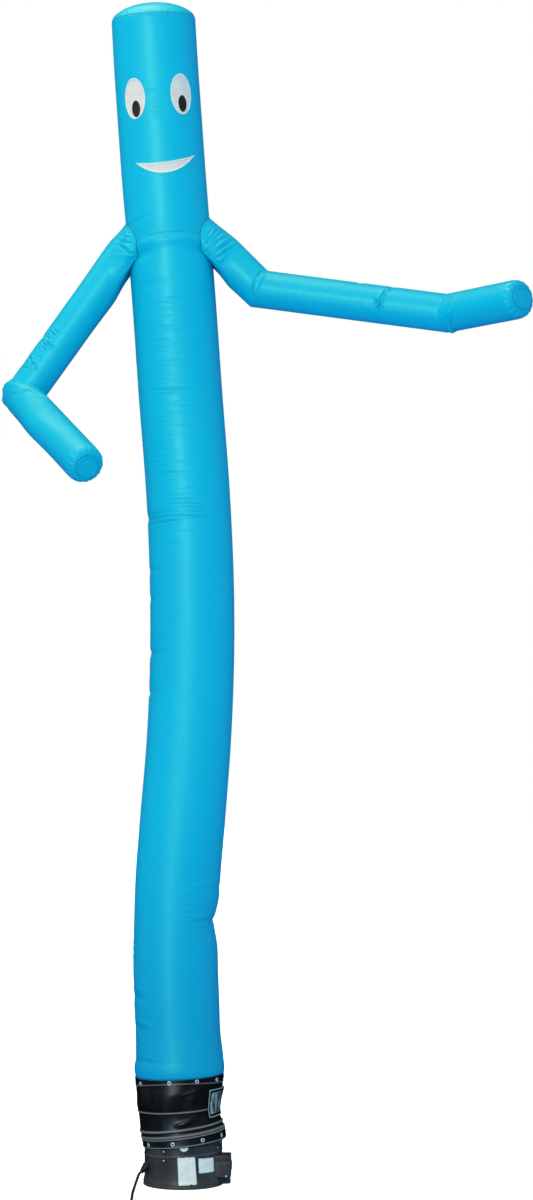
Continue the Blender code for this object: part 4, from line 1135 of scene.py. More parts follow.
# Wrinkles across the front: azimuth and height at each end, depth and half width in mm. The
# negative depths are ridges.
BODY_WRINKLES = (
    (-40, 4.536, 18, 4.546, 4.0, 6), (-22, 4.556, 22, 4.559, 3.4, 6),
    (-38, 4.500, 14, 4.503, 1.9, 6), (-32, 4.468, 18, 4.462, 1.6, 6),
    (-40, 4.412, 12, 4.408, 2.4, 6), (-34, 4.389, 24, 4.391, 2.1, 6),
    (-44, 4.345, 6, 4.338, 2.1, 6), (-26, 4.322, 26, 4.316, 1.9, 6),
    (-38, 4.300, 14, 4.302, 2.4, 6), (-40, 4.284, 10, 4.281, 1.9, 6),
    (-30, 4.268, 20, 4.266, 2.4, 6), (-36, 4.254, 14, 4.250, 1.9, 6),
    (-42, 4.232, 22, 4.226, 2.6, 6), (-40, 4.206, 16, 4.204, 1.9, 6),
    (-38, 4.191, 18, 4.186, 2.4, 6), (-46, 4.180, 20, 4.172, 3.6, 6),
    (-44, 4.160, 24, 4.156, 2.6, 6), (-6, 4.146, 26, 4.142, 2.1, 6),
    (-36, 4.136, 20, 4.132, 2.1, 6), (-34, 4.120, 20, 4.114, 2.1, 6),
    (-32, 4.107, 16, 4.104, 1.9, 6), (-50, 4.094, 26, 4.070, 5.2, 6),
    (-44, 4.068, 16, 4.056, 3.1, 6), (-32, 3.992, 12, 4.022, 2.6, 6),
    (-8, 3.988, 24, 3.984, 2.1, 6), (-30, 3.964, 14, 3.960, 1.9, 6),
    (-34, 3.956, 20, 3.948, 3.1, 6), (-52, 3.944, 10, 3.934, 3.4, 6),
    (-32, 3.914, 10, 3.911, 1.6, 6), (-34, 3.901, 8, 3.896, 1.9, 6),
    (-36, 3.892, 24, 3.882, 3.4, 6), (-30, 3.878, 10, 3.872, 2.1, 6),
    (-34, 3.842, 6, 3.838, 1.6, 6), (-42, 3.770, -6, 3.768, 2.1, 6), (-36, 3.758, 0, 3.752, 1.9, 6),
    (-64, 3.752, -26, 3.744, 2.9, 6), (-62, 3.716, -20, 3.712, 2.4, 6),
    (-62, 3.694, -24, 3.688, 2.4, 6), (-24, 3.702, 16, 3.696, 2.1, 6),
    (-56, 3.664, 20, 3.634, 4.0, 6), (-40, 3.640, 14, 3.622, 2.9, 6),
    (-76, 3.616, -38, 3.598, 2.6, 6), (-70, 3.596, -34, 3.584, 2.4, 6),
    (-14, 3.552, 18, 3.572, 2.6, 6), (-32, 3.532, 16, 3.526, 2.1, 6),
    (-34, 3.514, 22, 3.500, 3.4, 6), (-34, 3.492, 26, 3.474, 4.0, 6),
    (-30, 3.472, 30, 3.456, 4.2, 6), (-24, 3.454, 34, 3.434, 3.6, 6),
    (-40, 3.432, 36, 3.404, 4.8, 6), (-92, 3.430, -16, 3.424, 8.0, 6),
    (-88, 3.398, 10, 3.404, 6.8, 6), (-30, 3.342, 26, 3.338, 1.6, 6),
    (-44, 3.296, -4, 3.262, 3.4, 6), (-60, 3.300, -28, 3.284, 1.9, 6),
    (-96, 3.176, -56, 3.160, 2.9, 7), (-96, 3.026, -62, 3.010, 2.7, 7),
    (-94, 2.946, -66, 2.936, 2.1, 7), (-98, 2.738, -50, 2.716, 3.8, 7),
    (-92, 2.700, -60, 2.706, 2.5, 7), (-96, 2.506, -60, 2.494, 3.2, 7),
    (-48, 2.292, -16, 2.282, 2.1, 7), (10, 1.524, 44, 1.546, -2.9, 7.6),
    (4, 1.506, 30, 1.500, -2.0, 7.6), (14, 1.470, 40, 1.474, -2.0, 7.6),
    (4, 1.442, 42, 1.446, -2.1, 7.6), (2, 1.412, 46, 1.418, -2.3, 7.6),
    (0, 1.376, 44, 1.384, -3.4, 7.6), (20, 1.362, 60, 1.384, -3.5, 7.6),
    (4, 1.356, 36, 1.358, -2.5, 7.6), (14, 1.318, 74, 1.356, -5.2, 7.6),
    (16, 1.246, 44, 1.256, -2.3, 7.6), (18, 1.126, 34, 1.128, -1.5, 8.5),
    (-86, 1.462, -72, 1.436, 4.2, 5), (-84, 1.434, -70, 1.404, 3.8, 5),
    (-84, 1.384, -66, 1.356, 4.2, 5), (-88, 1.262, -60, 1.246, 2.8, 6),
    (-80, 1.228, -58, 1.220, 2.3, 6), (-82, 1.104, -60, 1.094, -2.3, 8.5),
    (-76, 1.020, -40, 1.000, -2.9, 8.5), (-60, 0.990, -30, 0.974, -2.5, 8.5),
    (-78, 0.936, -38, 0.922, -1.7, 8.5), (-84, 0.866, -12, 0.802, -4.9, 8.5),
    (-52, 0.818, -26, 0.802, -2.9, 8.5), (-72, 0.686, -6, 0.636, -3.5, 8.5),
    (-40, 0.626, -4, 0.616, -2.0, 8.5),
)


def strewn(seed, count, low, high, strength):
    """More wrinkles all round, from a seeded draw: each runs to both sides of a middle, and falls
    or climbs by the same on each side."""
    draw = np.random.default_rng(seed)
    middle = draw.uniform(-180, 180, count)
    height = draw.uniform(low, high, count)
    reach = draw.uniform(7, 22, count)
    lean = draw.normal(0.0, 0.006, count)
    deep = strength * draw.uniform(0.3, 1.0, count)
    half = draw.uniform(5.5, 8.0, count)
    rows = [middle - reach, height - lean, middle + reach, height + lean, deep, half]
    return np.stack(rows, axis=-1)


def body_middle(height):
    """The middle of the tube at a height."""
    sideways = smooth_column(BODY[0], BODY[1], height)
    forward = smooth_column(BODY[0], BODY[2], height)
    return np.stack([sideways, -forward, height + 0.0 * sideways], axis=-1)


def body_out(azimuth, height):
    """The direction straight out of the tube, square to its middle line."""
    along = unit(body_middle(height + 0.01) - body_middle(height - 0.01))
    right = unit(np.array([1.0, 0.0, 0.0]) - along * along[..., :1])
    turn = np.radians(azimuth)[..., None]
    return np.sin(turn) * right + np.cos(turn) * np.cross(right, along)


def neck_seam(azimuth):
    """The seam dips to the left and, less, to the right."""
    side = np.sin(np.radians(azimuth))
    return NECK_SEAM - (NECK_DIP - NECK_LEAN * (1 + side)) * side**2


def body_form(azimuth, height):
    """The tube's radius: its table, less its buckles and the pinch of the neck seam, with slow
    unevenness from three crossing waves."""
    radius = smooth_column(BODY[0], BODY[3], height) + 0.0 * azimuth
    for place, middle, reach, deep, half in BUCKLES:
        away = (azimuth - middle + 180) % 360 - 180
        fade = np.cos(np.clip(away / reach, -1, 1) * math.pi / 2) ** 2
        radius = radius - deep * fade * np.exp(-(((height - place) / half) ** 2))
    from_neck = height - neck_seam(azimuth)
    pinch_half = np.where(from_neck > 0, PINCH_ABOVE, PINCH_BELOW)
    radius = radius - NECK_PINCH * np.exp(-((from_neck / pinch_half) ** 2))
    turn = np.radians(azimuth)
    slow = np.sin(3 * turn + 2.1 * height) + 0.7 * np.sin(5 * turn - 3.7 * height + 1.0)
    slow = slow + 0.6 * np.sin(2 * turn + 5.3 * height + 2.0)
    return radius + UNEVENNESS * slow * smooth_step((height - 0.56) / 0.1)


def body_point(azimuth, height, out=0.0):
    """A point of the body's cloth by azimuth and height, out from it."""
    azimuth, height = np.broadcast_arrays(np.asarray(azimuth, float), np.asarray(height, float))
    radius = (body_form(azimuth, height) + out)[..., None]
    return body_middle(height) + radius * body_out(azimuth, height)


# The cloth's finish. UV is metres of cloth; ring_seam and side_seam are metres from a seam.
nylon = Bench(bpy.data.materials.new("blue_cloth"))
nylon_uv = nylon.node("UVMap", {"uv_map": "cloth"})
nylon_u = nylon.axis(nylon_uv, 0)
nylon_v = nylon.axis(nylon_uv, 1)
RIPSTOP, THREAD = 0.005, 0.0005


def thread_line(run, pitch, half):
    """1 on lines that lie a pitch apart, fading to 0 by half from a line's middle."""
    return 1.0 - run.math("PINGPONG", pitch / 2).rise(half * 0.4, half)


nylon_across = thread_line(nylon_v, RIPSTOP, THREAD)
nylon_grid = thread_line(nylon_u, RIPSTOP, THREAD).math("MAXIMUM", nylon_across)
from_ring = nylon.mark("ring_seam")
from_side = nylon.mark("side_seam")


def stitching(away, run):
    """Two rows of stitches beside a seam, 3 and 9 mm from it."""
    from_row = (away - 0.006).math("ABSOLUTE").math("SUBTRACT", 0.003).math("ABSOLUTE")
    rows = 1.0 - from_row.rise(0.0003, 0.0009)
    return rows * run.math("PINGPONG", 0.0020).rise(0.0003, 0.0008)


nylon_stitches = stitching(from_ring, nylon_u).math("MAXIMUM", stitching(from_side, nylon_v))
nylon_lap = 1.0 - from_ring.math("MINIMUM", from_side).rise(0.0110, 0.0125)
nylon_mottle = nylon.noise(nylon.place(), 1.6, 4.0, (1.0, 1.0, 0.6))
nylon_fine = nylon.noise(nylon_uv, 60.0, 3.0, (0.25, 1.0, 1.0))
DYE_DARK, DYE_LIGHT = (0.0, 0.425, 0.640, 1.0), (0.0, 0.450, 0.665, 1.0)
# A deeper blue: the doubled cloth at the seams, and the painted shade low on the figure.
DYE_DEEP_AND_SHADE = (0.0, 0.330, 0.560, 1.0)
nylon_dye = nylon.blend(nylon_mottle.rise(0.3, 0.7), DYE_DARK, DYE_LIGHT)
# Painted shade: the cloth turns a deeper blue down towards the figure's foot, from 2 m and fully
# below 0.4 m.
nylon_foot_shade = 1.0 - nylon.axis(nylon.place(), 2).rise(0.40, 2.00)
nylon_dye = nylon.blend(nylon_foot_shade, nylon_dye, DYE_DEEP_AND_SHADE)
nylon_dye = nylon.blend(nylon_lap * 0.06, nylon_dye, DYE_DEEP_AND_SHADE)
nylon_dye = nylon.blend(nylon_grid * 0.10, nylon_dye, (0.0, 0.52, 0.72, 1.0))
nylon_dye = nylon.blend(nylon_stitches * 0.6, nylon_dye, (0.02, 0.50, 0.68, 1.0))
nylon_weave = nylon.relief(nylon_grid, 0.00012, nylon.relief(nylon_fine, 0.0007))
blue_cloth = nylon.finish(
    {
        "Base Color": nylon_dye,
        "Roughness": nylon_fine * 0.10 + 0.33,
        "Specular IOR Level": 0.75,
        "Specular Tint": (0.24, 0.95, 0.58, 1.0),
        "Normal": nylon.relief(nylon_stitches, 0.0006, nylon.relief(nylon_lap, 0.0004, nylon_weave)),
    }
)
CLOTH_THICK, SEAM_DRAW, SEAM_HALF = 0.0008, 0.0014, 0.007
side_columns = np.array([-88.6, -87.0, -85.0, -82.5, 262.5, 265.0, 267.0, 268.6])
even_columns = np.linspace(-90.0, 270.0, 61)
torso_columns = np.unique(np.concatenate([even_columns, side_columns]))[None, :]


def from_side_seam(azimuth):
    """Metres round the tube from its side seam."""
    return BODY_RADIUS * np.radians(np.minimum(azimuth + 90.0, 270.0 - azimuth))


def seam_line(azimuth):
    """The side seam draws the cloth in a little along its line."""
    return SEAM_DRAW * np.exp(-((from_side_seam(azimuth) / SEAM_HALF) ** 2))


def body_cloth(name, columns, height, out, from_ring):
    """A length of the tube: its points, metres of cloth and metres from its seams."""
    run = BODY_RADIUS * np.radians(columns + 90.0)
    maps = {"cloth": np.stack(np.broadcast_arrays(run, height), -1)}
    marks = {"ring_seam": from_ring, "side_seam": from_side_seam(columns) + 0.0 * height}
    cloth = surface(body_point(columns, height, out), wraps=True, maps=maps, marks=marks)
    return piece(name, [cloth], blue_cloth, CLOTH_THICK)


# The torso, from inside the collar's top edge to the neck seam. Its rows lie closer in windows
# of (low, high, step), where it is creased.
TORSO_FOOT, TORSO_FOOT_RISE, COLLAR_TUCK = 0.545, 0.010, 0.0050
TORSO_WINDOWS = (
    (0.62, 1.06, 0.0050),
    (1.22, 1.56, 0.0048),
    (2.45, 3.14, 0.0078),
    (3.14, 4.60, 0.0050),
    (4.60, 4.91, 0.0070),
)
torso_steps = spaced(0.560, NECK_SEAM, 0.0100, TORSO_WINDOWS)
torso_steps = np.concatenate([[TORSO_FOOT, 0.5500, 0.5525, 0.5550], torso_steps])
torso_share = ((torso_steps - TORSO_FOOT) / (NECK_SEAM - TORSO_FOOT))[:, None]
torso_low = TORSO_FOOT + TORSO_FOOT_RISE * np.sin(np.radians(torso_columns))
torso_height = torso_low + (neck_seam(torso_columns) - torso_low) * torso_share
torso_depth = folds(BODY_WRINKLES, torso_columns, torso_height, BODY_RADIUS)
torso_strewn = strewn(3, 150, 0.8, 4.75, 0.7)
torso_depth = torso_depth + folds(torso_strewn, torso_columns, torso_height, BODY_RADIUS)
draw = np.random.default_rng(11)
PUCKERS, PUCKER_SLOPE = 130, 0.012
pucker_place = draw.uniform(0.65, 4.7, PUCKERS)
pucker_reach = draw.uniform(5, 13, PUCKERS)
pucker_deep = draw.uniform(0.4, 1.6, PUCKERS)
pucker_half = draw.uniform(4.5, 6.5, PUCKERS)
pucker_low, pucker_high = pucker_place - PUCKER_SLOPE, pucker_place + PUCKER_SLOPE
seam_puckers = np.stack(
    [-90 - pucker_reach, pucker_low, -90 + pucker_reach, pucker_high, pucker_deep, pucker_half],
    axis=-1,
)
torso_depth = torso_depth + folds(seam_puckers, torso_columns, torso_height, BODY_RADIUS)
tuck = COLLAR_TUCK * (1 - smooth_step((torso_height - torso_low - 0.007) / 0.008))
torso_out = -torso_depth - seam_line(torso_columns) - tuck
torso_from_ring = neck_seam(torso_columns) - torso_height
torso = body_cloth("torso_cloth", torso_columns, torso_height, torso_out, torso_from_ring)
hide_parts("torso")

# The head, from the neck seam to the rim of its top disc.
HEAD_WRINKLES = (
    (-22, 5.640, 14, 5.638, 3.0, 7), (-14, 5.598, 20, 5.600, 2.8, 7),
    (-20, 5.576, 16, 5.572, 2.8, 6), (-12, 5.552, 18, 5.554, 3.2, 6),
    (-16, 5.530, 14, 5.526, 2.8, 6), (-10, 5.506, 18, 5.504, 2.4, 6),
    (-92, 4.950, 0, 5.016, 2.6, 13), (-70, 5.180, -50, 5.176, 1.3, 7),
    (60, 5.060, 84, 5.070, 1.8, 7), (-40, 5.420, -18, 5.424, 1.1, 7),
    (20, 5.440, 44, 5.436, 1.3, 7), (-76, 5.760, -48, 5.764, 1.1, 7),
)
head_columns = np.linspace(-90.0, 270.0, 97)[None, :]
head_low_rows, head_high_rows = [0.0, 0.0016, 0.0036, 0.006, 0.010], [0.993, 0.997, 1.0]
head_share = np.concatenate([head_low_rows, np.linspace(0.0145, 0.988, 145), head_high_rows])
head_share = head_share[:, None]
head_height = neck_seam(head_columns) + (HEAD_RIM - neck_seam(head_columns)) * head_share
head_depth = folds(HEAD_WRINKLES, head_columns, head_height, BODY_RADIUS)
head_strewn = strewn(8, 34, 4.98, 5.98, 0.5)
head_depth = head_depth + folds(head_strewn, head_columns, head_height, BODY_RADIUS)
head_edge = 0.0012 * np.exp(-(((HEAD_RIM - head_height) / 0.005) ** 2))
head_out = -head_depth - head_edge - seam_line(head_columns)
head_from_ring = np.minimum(head_height - neck_seam(head_columns), HEAD_RIM - head_height)
head = body_cloth("head_cloth", head_columns, head_height, head_out, head_from_ring)
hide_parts("head")

def disc_marks(radius, share, angle):
    """A disc's metres from its ring seam, which is its edge. No side seam comes near it."""
    from_rim = radius * (1 - share) + 0.0 * angle
    return {"ring_seam": from_rim, "side_seam": 1.0 + 0.0 * from_rim}


# The disc sewn into the head's rim, blown up into a shallow dome, with small gathers at its seam.
DOME_RISE = 0.085
dome_middle = body_middle(np.array(HEAD_RIM))
dome_up = unit(body_middle(np.array(HEAD_RIM)) - body_middle(np.array(HEAD_RIM - 0.02)))
dome_azimuth = np.linspace(-90.0, 270.0, 129)[None, :]
dome_turn = np.radians(dome_azimuth)
dome_edge_rows = [1.0, 0.996, 0.991, 0.985, 0.975, 0.96]
dome_share = np.concatenate([dome_edge_rows, np.linspace(0.94, 0.04, 30), [0.0]])[:, None]
dome_gather = 0.0016 * np.sin(dome_turn * 31 + 3 * np.sin(dome_turn * 2))
dome_gather = dome_gather * np.exp(-(((dome_share - 0.95) / 0.045) ** 2))
dome_crown = 0.0010 + DOME_RISE * (1 - dome_share**2) ** 0.6 + dome_gather
dome_rim = (body_form(dome_azimuth, HEAD_RIM) - 0.0022) * dome_share
dome_out = body_out(dome_azimuth, np.full(dome_azimuth.shape, HEAD_RIM))
dome_points = dome_middle + dome_out * dome_rim[..., None] + dome_up * dome_crown[..., None]
dome_flat = BODY_RADIUS * dome_share
dome_plan = np.stack([dome_flat * np.sin(dome_turn), -dome_flat * np.cos(dome_turn)], axis=-1)
dome_marks = disc_marks(BODY_RADIUS, dome_share, dome_azimuth)
dome_surface = surface(dome_points, True, (False, True), {"cloth": dome_plan}, dome_marks)
dome = piece("head_disc", [dome_surface], blue_cloth, CLOTH_THICK)
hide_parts("head_top")


# ---------------------------------------------------------------- arms
# Two sleeves of the same cloth, sewn into armholes and gathered onto a small disc at the hand.
# Each buckles at its elbow and wrist where the wind has folded it.

ARM_RADIUS, SLEEVE_FLARE, SLEEVE_FLARE_LONG = 0.0985, 0.006, 0.45
MOUTH_HALF_HEIGHT, MOUTH_REACH, MOUTH_BLEND = 0.128, 41.0, 0.18
HAND_RADIUS, HAND_BULGE = 0.0585, 0.0050
# The ring seam round a hand's disc: its middle and half width as shares of the radius, and how
# proud it is.
HAND_RING = (0.92, 0.060, 0.0034)
# How a sleeve narrows to its hand: distance from the hand, and radius.
SLEEVE_END = ((0.0, 0.0590), (0.004, 0.0740), (0.014, 0.0880), (0.032, 0.0965), (0.055, 0.0985))
# Each arm: where it leaves the body; its corners, to the right, forward and up; its buckles, by
# metres along, degrees round from its upper side, reach, depth and half width; its wrinkles, as
# rows for folds; the windows where its rows lie closer; and its seed.
LEFT_ARM = {
    "azimuth": -90.0,
    "shoulder": 4.866,
    "corners": ((-0.8500, 0.030, 4.0630), (-0.4600, 0.700, 3.6171)),
    "buckles": (
        (0.66, 0, 70, 0.004, 0.016),
        (0.80, 10, 70, 0.003, 0.016),
        (0.919, 0, 50, -0.016, 0.021),
        (0.965, 0, 60, 0.005, 0.026),
        (1.000, 0, 70, 0.014, 0.034),
        (1.36, 345, 80, -0.022, 0.15),
        (1.45, 180, 60, 0.005, 0.015),
    ),
    "wrinkles": (
        (338, 0.045, 314, 0.034, 6.0, 5), (326, 0.058, 298, 0.036, 8.1, 5),
        (324, 0.099, 284, 0.044, 9.4, 5), (305, 0.103, 267, 0.048, 8.8, 5),
        (284, 0.084, 250, 0.022, 8.8, 5), (294, 0.141, 250, 0.023, -4.0, 5),
        (262, 0.060, 238, 0.014, 5.0, 5), (310, 0.070, 292, 0.040, 3.5, 4),
        (300, 0.062, 276, 0.020, 4.5, 4), (346, 0.020, 324, 0.010, 5.0, 4),
        (316, 0.024, 296, 0.006, 5.5, 4), (282, 0.030, 262, 0.004, 5.0, 4),
        (20, 0.050, -6, 0.034, 5.0, 5), (60, 0.090, 20, 0.050, 5.6, 5),
        (92, 0.090, 60, 0.040, 5.3, 5), (120, 0.085, 88, 0.030, 5.3, 5),
        (150, 0.070, 118, 0.020, 4.5, 5), (214, 0.050, 186, 0.020, 4.0, 5),
        (322, 0.634, 286, 0.653, 10.0, 4.5), (311, 0.620, 284, 0.632, 7.2, 4.5),
        (324, 0.664, 292, 0.684, 6.5, 4.5), (318, 0.697, 293, 0.722, 10.0, 4.5),
        (311, 0.685, 282, 0.709, 10.0, 4.5), (290, 0.699, 266, 0.719, 6.5, 4.5),
        (310, 0.721, 281, 0.748, 6.5, 4.5), (342, 0.771, 306, 0.809, 10.0, 4.5),
        (315, 0.810, 283, 0.842, 10.9, 4.5), (326, 0.842, 297, 0.863, 7.2, 4.5),
        (294, 0.842, 271, 0.867, 6.5, 4.5), (300, 0.780, 276, 0.800, 3.0, 4),
        (362, 0.906, 282, 0.976, -4.5, 6), (320, 0.942, 260, 0.994, -3.5, 5),
        (346, 1.018, 300, 1.050, 6.9, 5), (312, 1.044, 262, 1.066, 6.9, 5),
        (274, 1.062, 240, 1.160, 5.6, 5), (318, 1.070, 270, 1.090, -3.0, 6),
        (366, 0.914, 350, 0.930, 3.0, 5), (250, 0.940, 206, 0.926, 3.4, 4),
        (276, 1.350, 258, 1.392, 2.2, 5), (276, 1.392, 256, 1.438, 2.4, 5),
        (250, 1.180, 284, 1.174, 2.2, 5), (214, 1.280, 246, 1.266, 3.1, 5),
        (286, 1.380, 318, 1.396, 2.0, 5), (280, 1.420, 326, 1.436, 2.4, 5),
        (240, 1.510, 284, 1.540, 2.3, 5), (300, 1.500, 340, 1.480, 2.8, 5),
    ),
    "windows": ((0.0, 0.16, 0.0040), (0.60, 0.88, 0.0042), (0.88, 1.18, 0.0046)),
    "seed": 21,
}
RIGHT_ARM = {
    "azimuth": 90.0,
    "shoulder": 4.863,
    "corners": ((0.3888, 0.060, 4.6292), (1.3592, 0.250, 4.4659), (1.7016, 0.670, 4.4651)),
    "buckles": (
        (0.88, 0, 70, 0.004, 0.016),
        (1.06, 20, 50, 0.004, 0.012),
        (1.405, 178, 34, -0.012, 0.012),
    ),
    "wrinkles": (
        (28, 0.158, 100, 0.084, 11.2, 6), (38, 0.168, 106, 0.092, -5.5, 7),
        (70, 0.143, 110, 0.086, 9.4, 5), (94, 0.130, 118, 0.090, -4.5, 5),
        (24, 0.122, 68, 0.090, 8.8, 5), (24, 0.092, 64, 0.076, 6.5, 5),
        (26, 0.072, 58, 0.060, 7.5, 5), (20, 0.106, 50, 0.092, 4.0, 4),
        (64, 0.098, 84, 0.070, 5.0, 4), (40, 0.050, 70, 0.040, 4.5, 4),
        (70, 0.060, 96, 0.030, 5.0, 4), (90, 0.060, 116, 0.030, 4.0, 4),
        (10, 0.060, -20, 0.040, 4.5, 5), (330, 0.100, 296, 0.060, 5.1, 5),
        (300, 0.080, 262, 0.040, 5.1, 5), (262, 0.080, 230, 0.040, 4.2, 5),
        (232, 0.060, 204, 0.030, 3.9, 5), (34, 0.350, 80, 0.336, 7.0, 5),
        (70, 0.336, 130, 0.356, 7.0, 5), (36, 0.366, 128, 0.372, -6.5, 9),
        (60, 0.430, 96, 0.452, 2.4, 5), (72, 0.466, 104, 0.480, 2.0, 5),
        (54, 0.500, 88, 0.520, 1.8, 5), (96, 0.560, 124, 0.580, 2.4, 5),
        (90, 0.610, 118, 0.634, 2.4, 5), (34, 1.075, 56, 1.064, 10.2, 4.5),
        (44, 1.052, 80, 1.040, 10.2, 4.5), (70, 1.040, 96, 1.042, 8.7, 4.5),
        (80, 1.014, 104, 1.034, 9.4, 4.5), (94, 1.026, 116, 1.066, 8.7, 4.5),
        (82, 1.062, 110, 1.036, 8.7, 4.5), (100, 1.044, 121, 1.022, 8.0, 4.5),
        (60, 1.052, 84, 1.060, -4.0, 5), (96, 0.930, 128, 0.944, 2.7, 5),
        (96, 1.280, 140, 1.330, 3.0, 5), (96, 1.466, 128, 1.404, -7.0, 4),
        (30, 1.450, 104, 1.484, 7.5, 5), (96, 1.480, 178, 1.410, 7.5, 5),
        (72, 1.858, 98, 1.885, 5.0, 4), (102, 1.874, 120, 1.880, 5.0, 4),
        (114, 1.874, 132, 1.898, -3.0, 4), (70, 1.876, 48, 1.891, 5.0, 4),
        (60, 1.620, 104, 1.610, 1.5, 5),
    ),
    "windows": (
        (0.0, 0.18, 0.0040),
        (0.31, 0.39, 0.0044),
        (1.00, 1.09, 0.0040),
        (1.39, 1.50, 0.0044),
    ),
    "seed": 22,
}


def carried_round(vector, before, after):
    """The vector, turned as the middle line turns from one direction to the next: with their
    cross product as an axis, its cross product with the vector is added, and that taken twice
    over one more than their dot product."""
    axis = np.cross(before, after)
    once = np.cross(axis, vector)
    return vector + once + np.cross(axis, once) / (1.0 + before @ after)


def arm_sections(arm):
    """The corners, directions and upper sides of an arm's straight stretches."""
    start = body_point(arm["azimuth"], arm["shoulder"])
    corners = [start] + [np.array((x, -forward, z)) for x, forward, z in arm["corners"]]
    along = [unit(b - a) for a, b in zip(corners, corners[1:])]
    up = np.array([0.0, 0.0, 1.0])
    upper = [unit(up - along[0] * (up @ along[0]))]
    for before, after in zip(along, along[1:]):
        upper.append(carried_round(upper[-1], before, after))
    return np.array(corners), np.array(along), np.array(upper)


def hand_gathers(angle, before):
    """The cloth's gathers onto the hand's disc: waves round the sleeve that die out up it."""
    wave = np.sin(17 * angle + 1.6 * np.sin(3 * angle)) + 0.5 * np.sin(29 * angle + 2.0)
    return 0.0016 * wave * np.exp(-(((before - 0.012) / 0.022) ** 2))


def arm_point(arm, angle, travel):
    """Points of a sleeve by angle round it and travel along it, in stretches and shares of one.

    Each thread of the cloth runs straight from one mitre plane to the next, so the tube is
    round between its bends and kinks crisply at them. Near the body it widens to its armhole.
    """
    corners, along, upper = arm_sections(arm)
    last = len(along) - 1
    stretch = np.minimum(travel.astype(int), last)
    share = travel - stretch
    length = np.linalg.norm(np.diff(corners, axis=0), axis=1)
    run = np.concatenate([[0.0], np.cumsum(length)])
    distance = run[stretch] + share * length[stretch]
    radius = np.interp(run[-1] - distance, *zip(*SLEEVE_END))
    degrees = np.degrees(angle)
    for place, middle, reach, deep, half in arm["buckles"]:
        away = (degrees - middle + 180) % 360 - 180
        fade = np.cos(np.clip(away / reach, -1, 1) * math.pi / 2) ** 2
        radius = radius - deep * fade * np.exp(-(((distance - place) / half) ** 2))
    radius = radius + SLEEVE_FLARE * (1 - smooth_step(distance / SLEEVE_FLARE_LONG))
    radius = radius + hand_gathers(angle, run[-1] - distance)
    crinkles = strewn(arm["seed"], 70, 0.12, run[-1] - 0.08, 0.7)
    rows = np.concatenate([np.array(arm["wrinkles"], float), crinkles])
    radius = radius - folds(rows, degrees, distance, ARM_RADIUS)

    start, direction, side = corners[stretch], along[stretch], upper[stretch]
    cosine, sine = np.cos(angle)[..., None], np.sin(angle)[..., None]
    out = cosine * side + sine * np.cross(direction, side)
    mitres = [unit(a + b) for a, b in zip(along, along[1:])]
    planes = np.array([(np.sign(along[0][0]), 0.0, 0.0), *mitres, along[-1]])

    def shift(plane):
        """How far along its thread a point reaches the mitre plane."""
        return -radius * (out * plane).sum(-1) / (direction * plane).sum(-1)

    first, second = shift(planes[stretch]), shift(planes[stretch + 1])
    reach = first + share * (length[stretch] + second - first)
    points = start + out * radius[..., None] + direction * reach[..., None]

    azimuth = arm["azimuth"] - MOUTH_REACH * np.sin(angle)
    height = arm["shoulder"] + MOUTH_HALF_HEIGHT * np.cos(angle)
    mouth = body_point(azimuth, height, 0.0012)
    round_out = cosine * upper[0] + sine * np.cross(along[0], upper[0])
    wide = ARM_RADIUS + SLEEVE_FLARE
    slant = -wide * (round_out @ planes[0]) / (along[0] @ planes[0])
    round_start = corners[0] + wide * round_out + slant[..., None] * along[0]
    faded = (1 - smooth_step(distance / MOUTH_BLEND))[..., None]
    return points + (mouth - round_start) * faded, distance


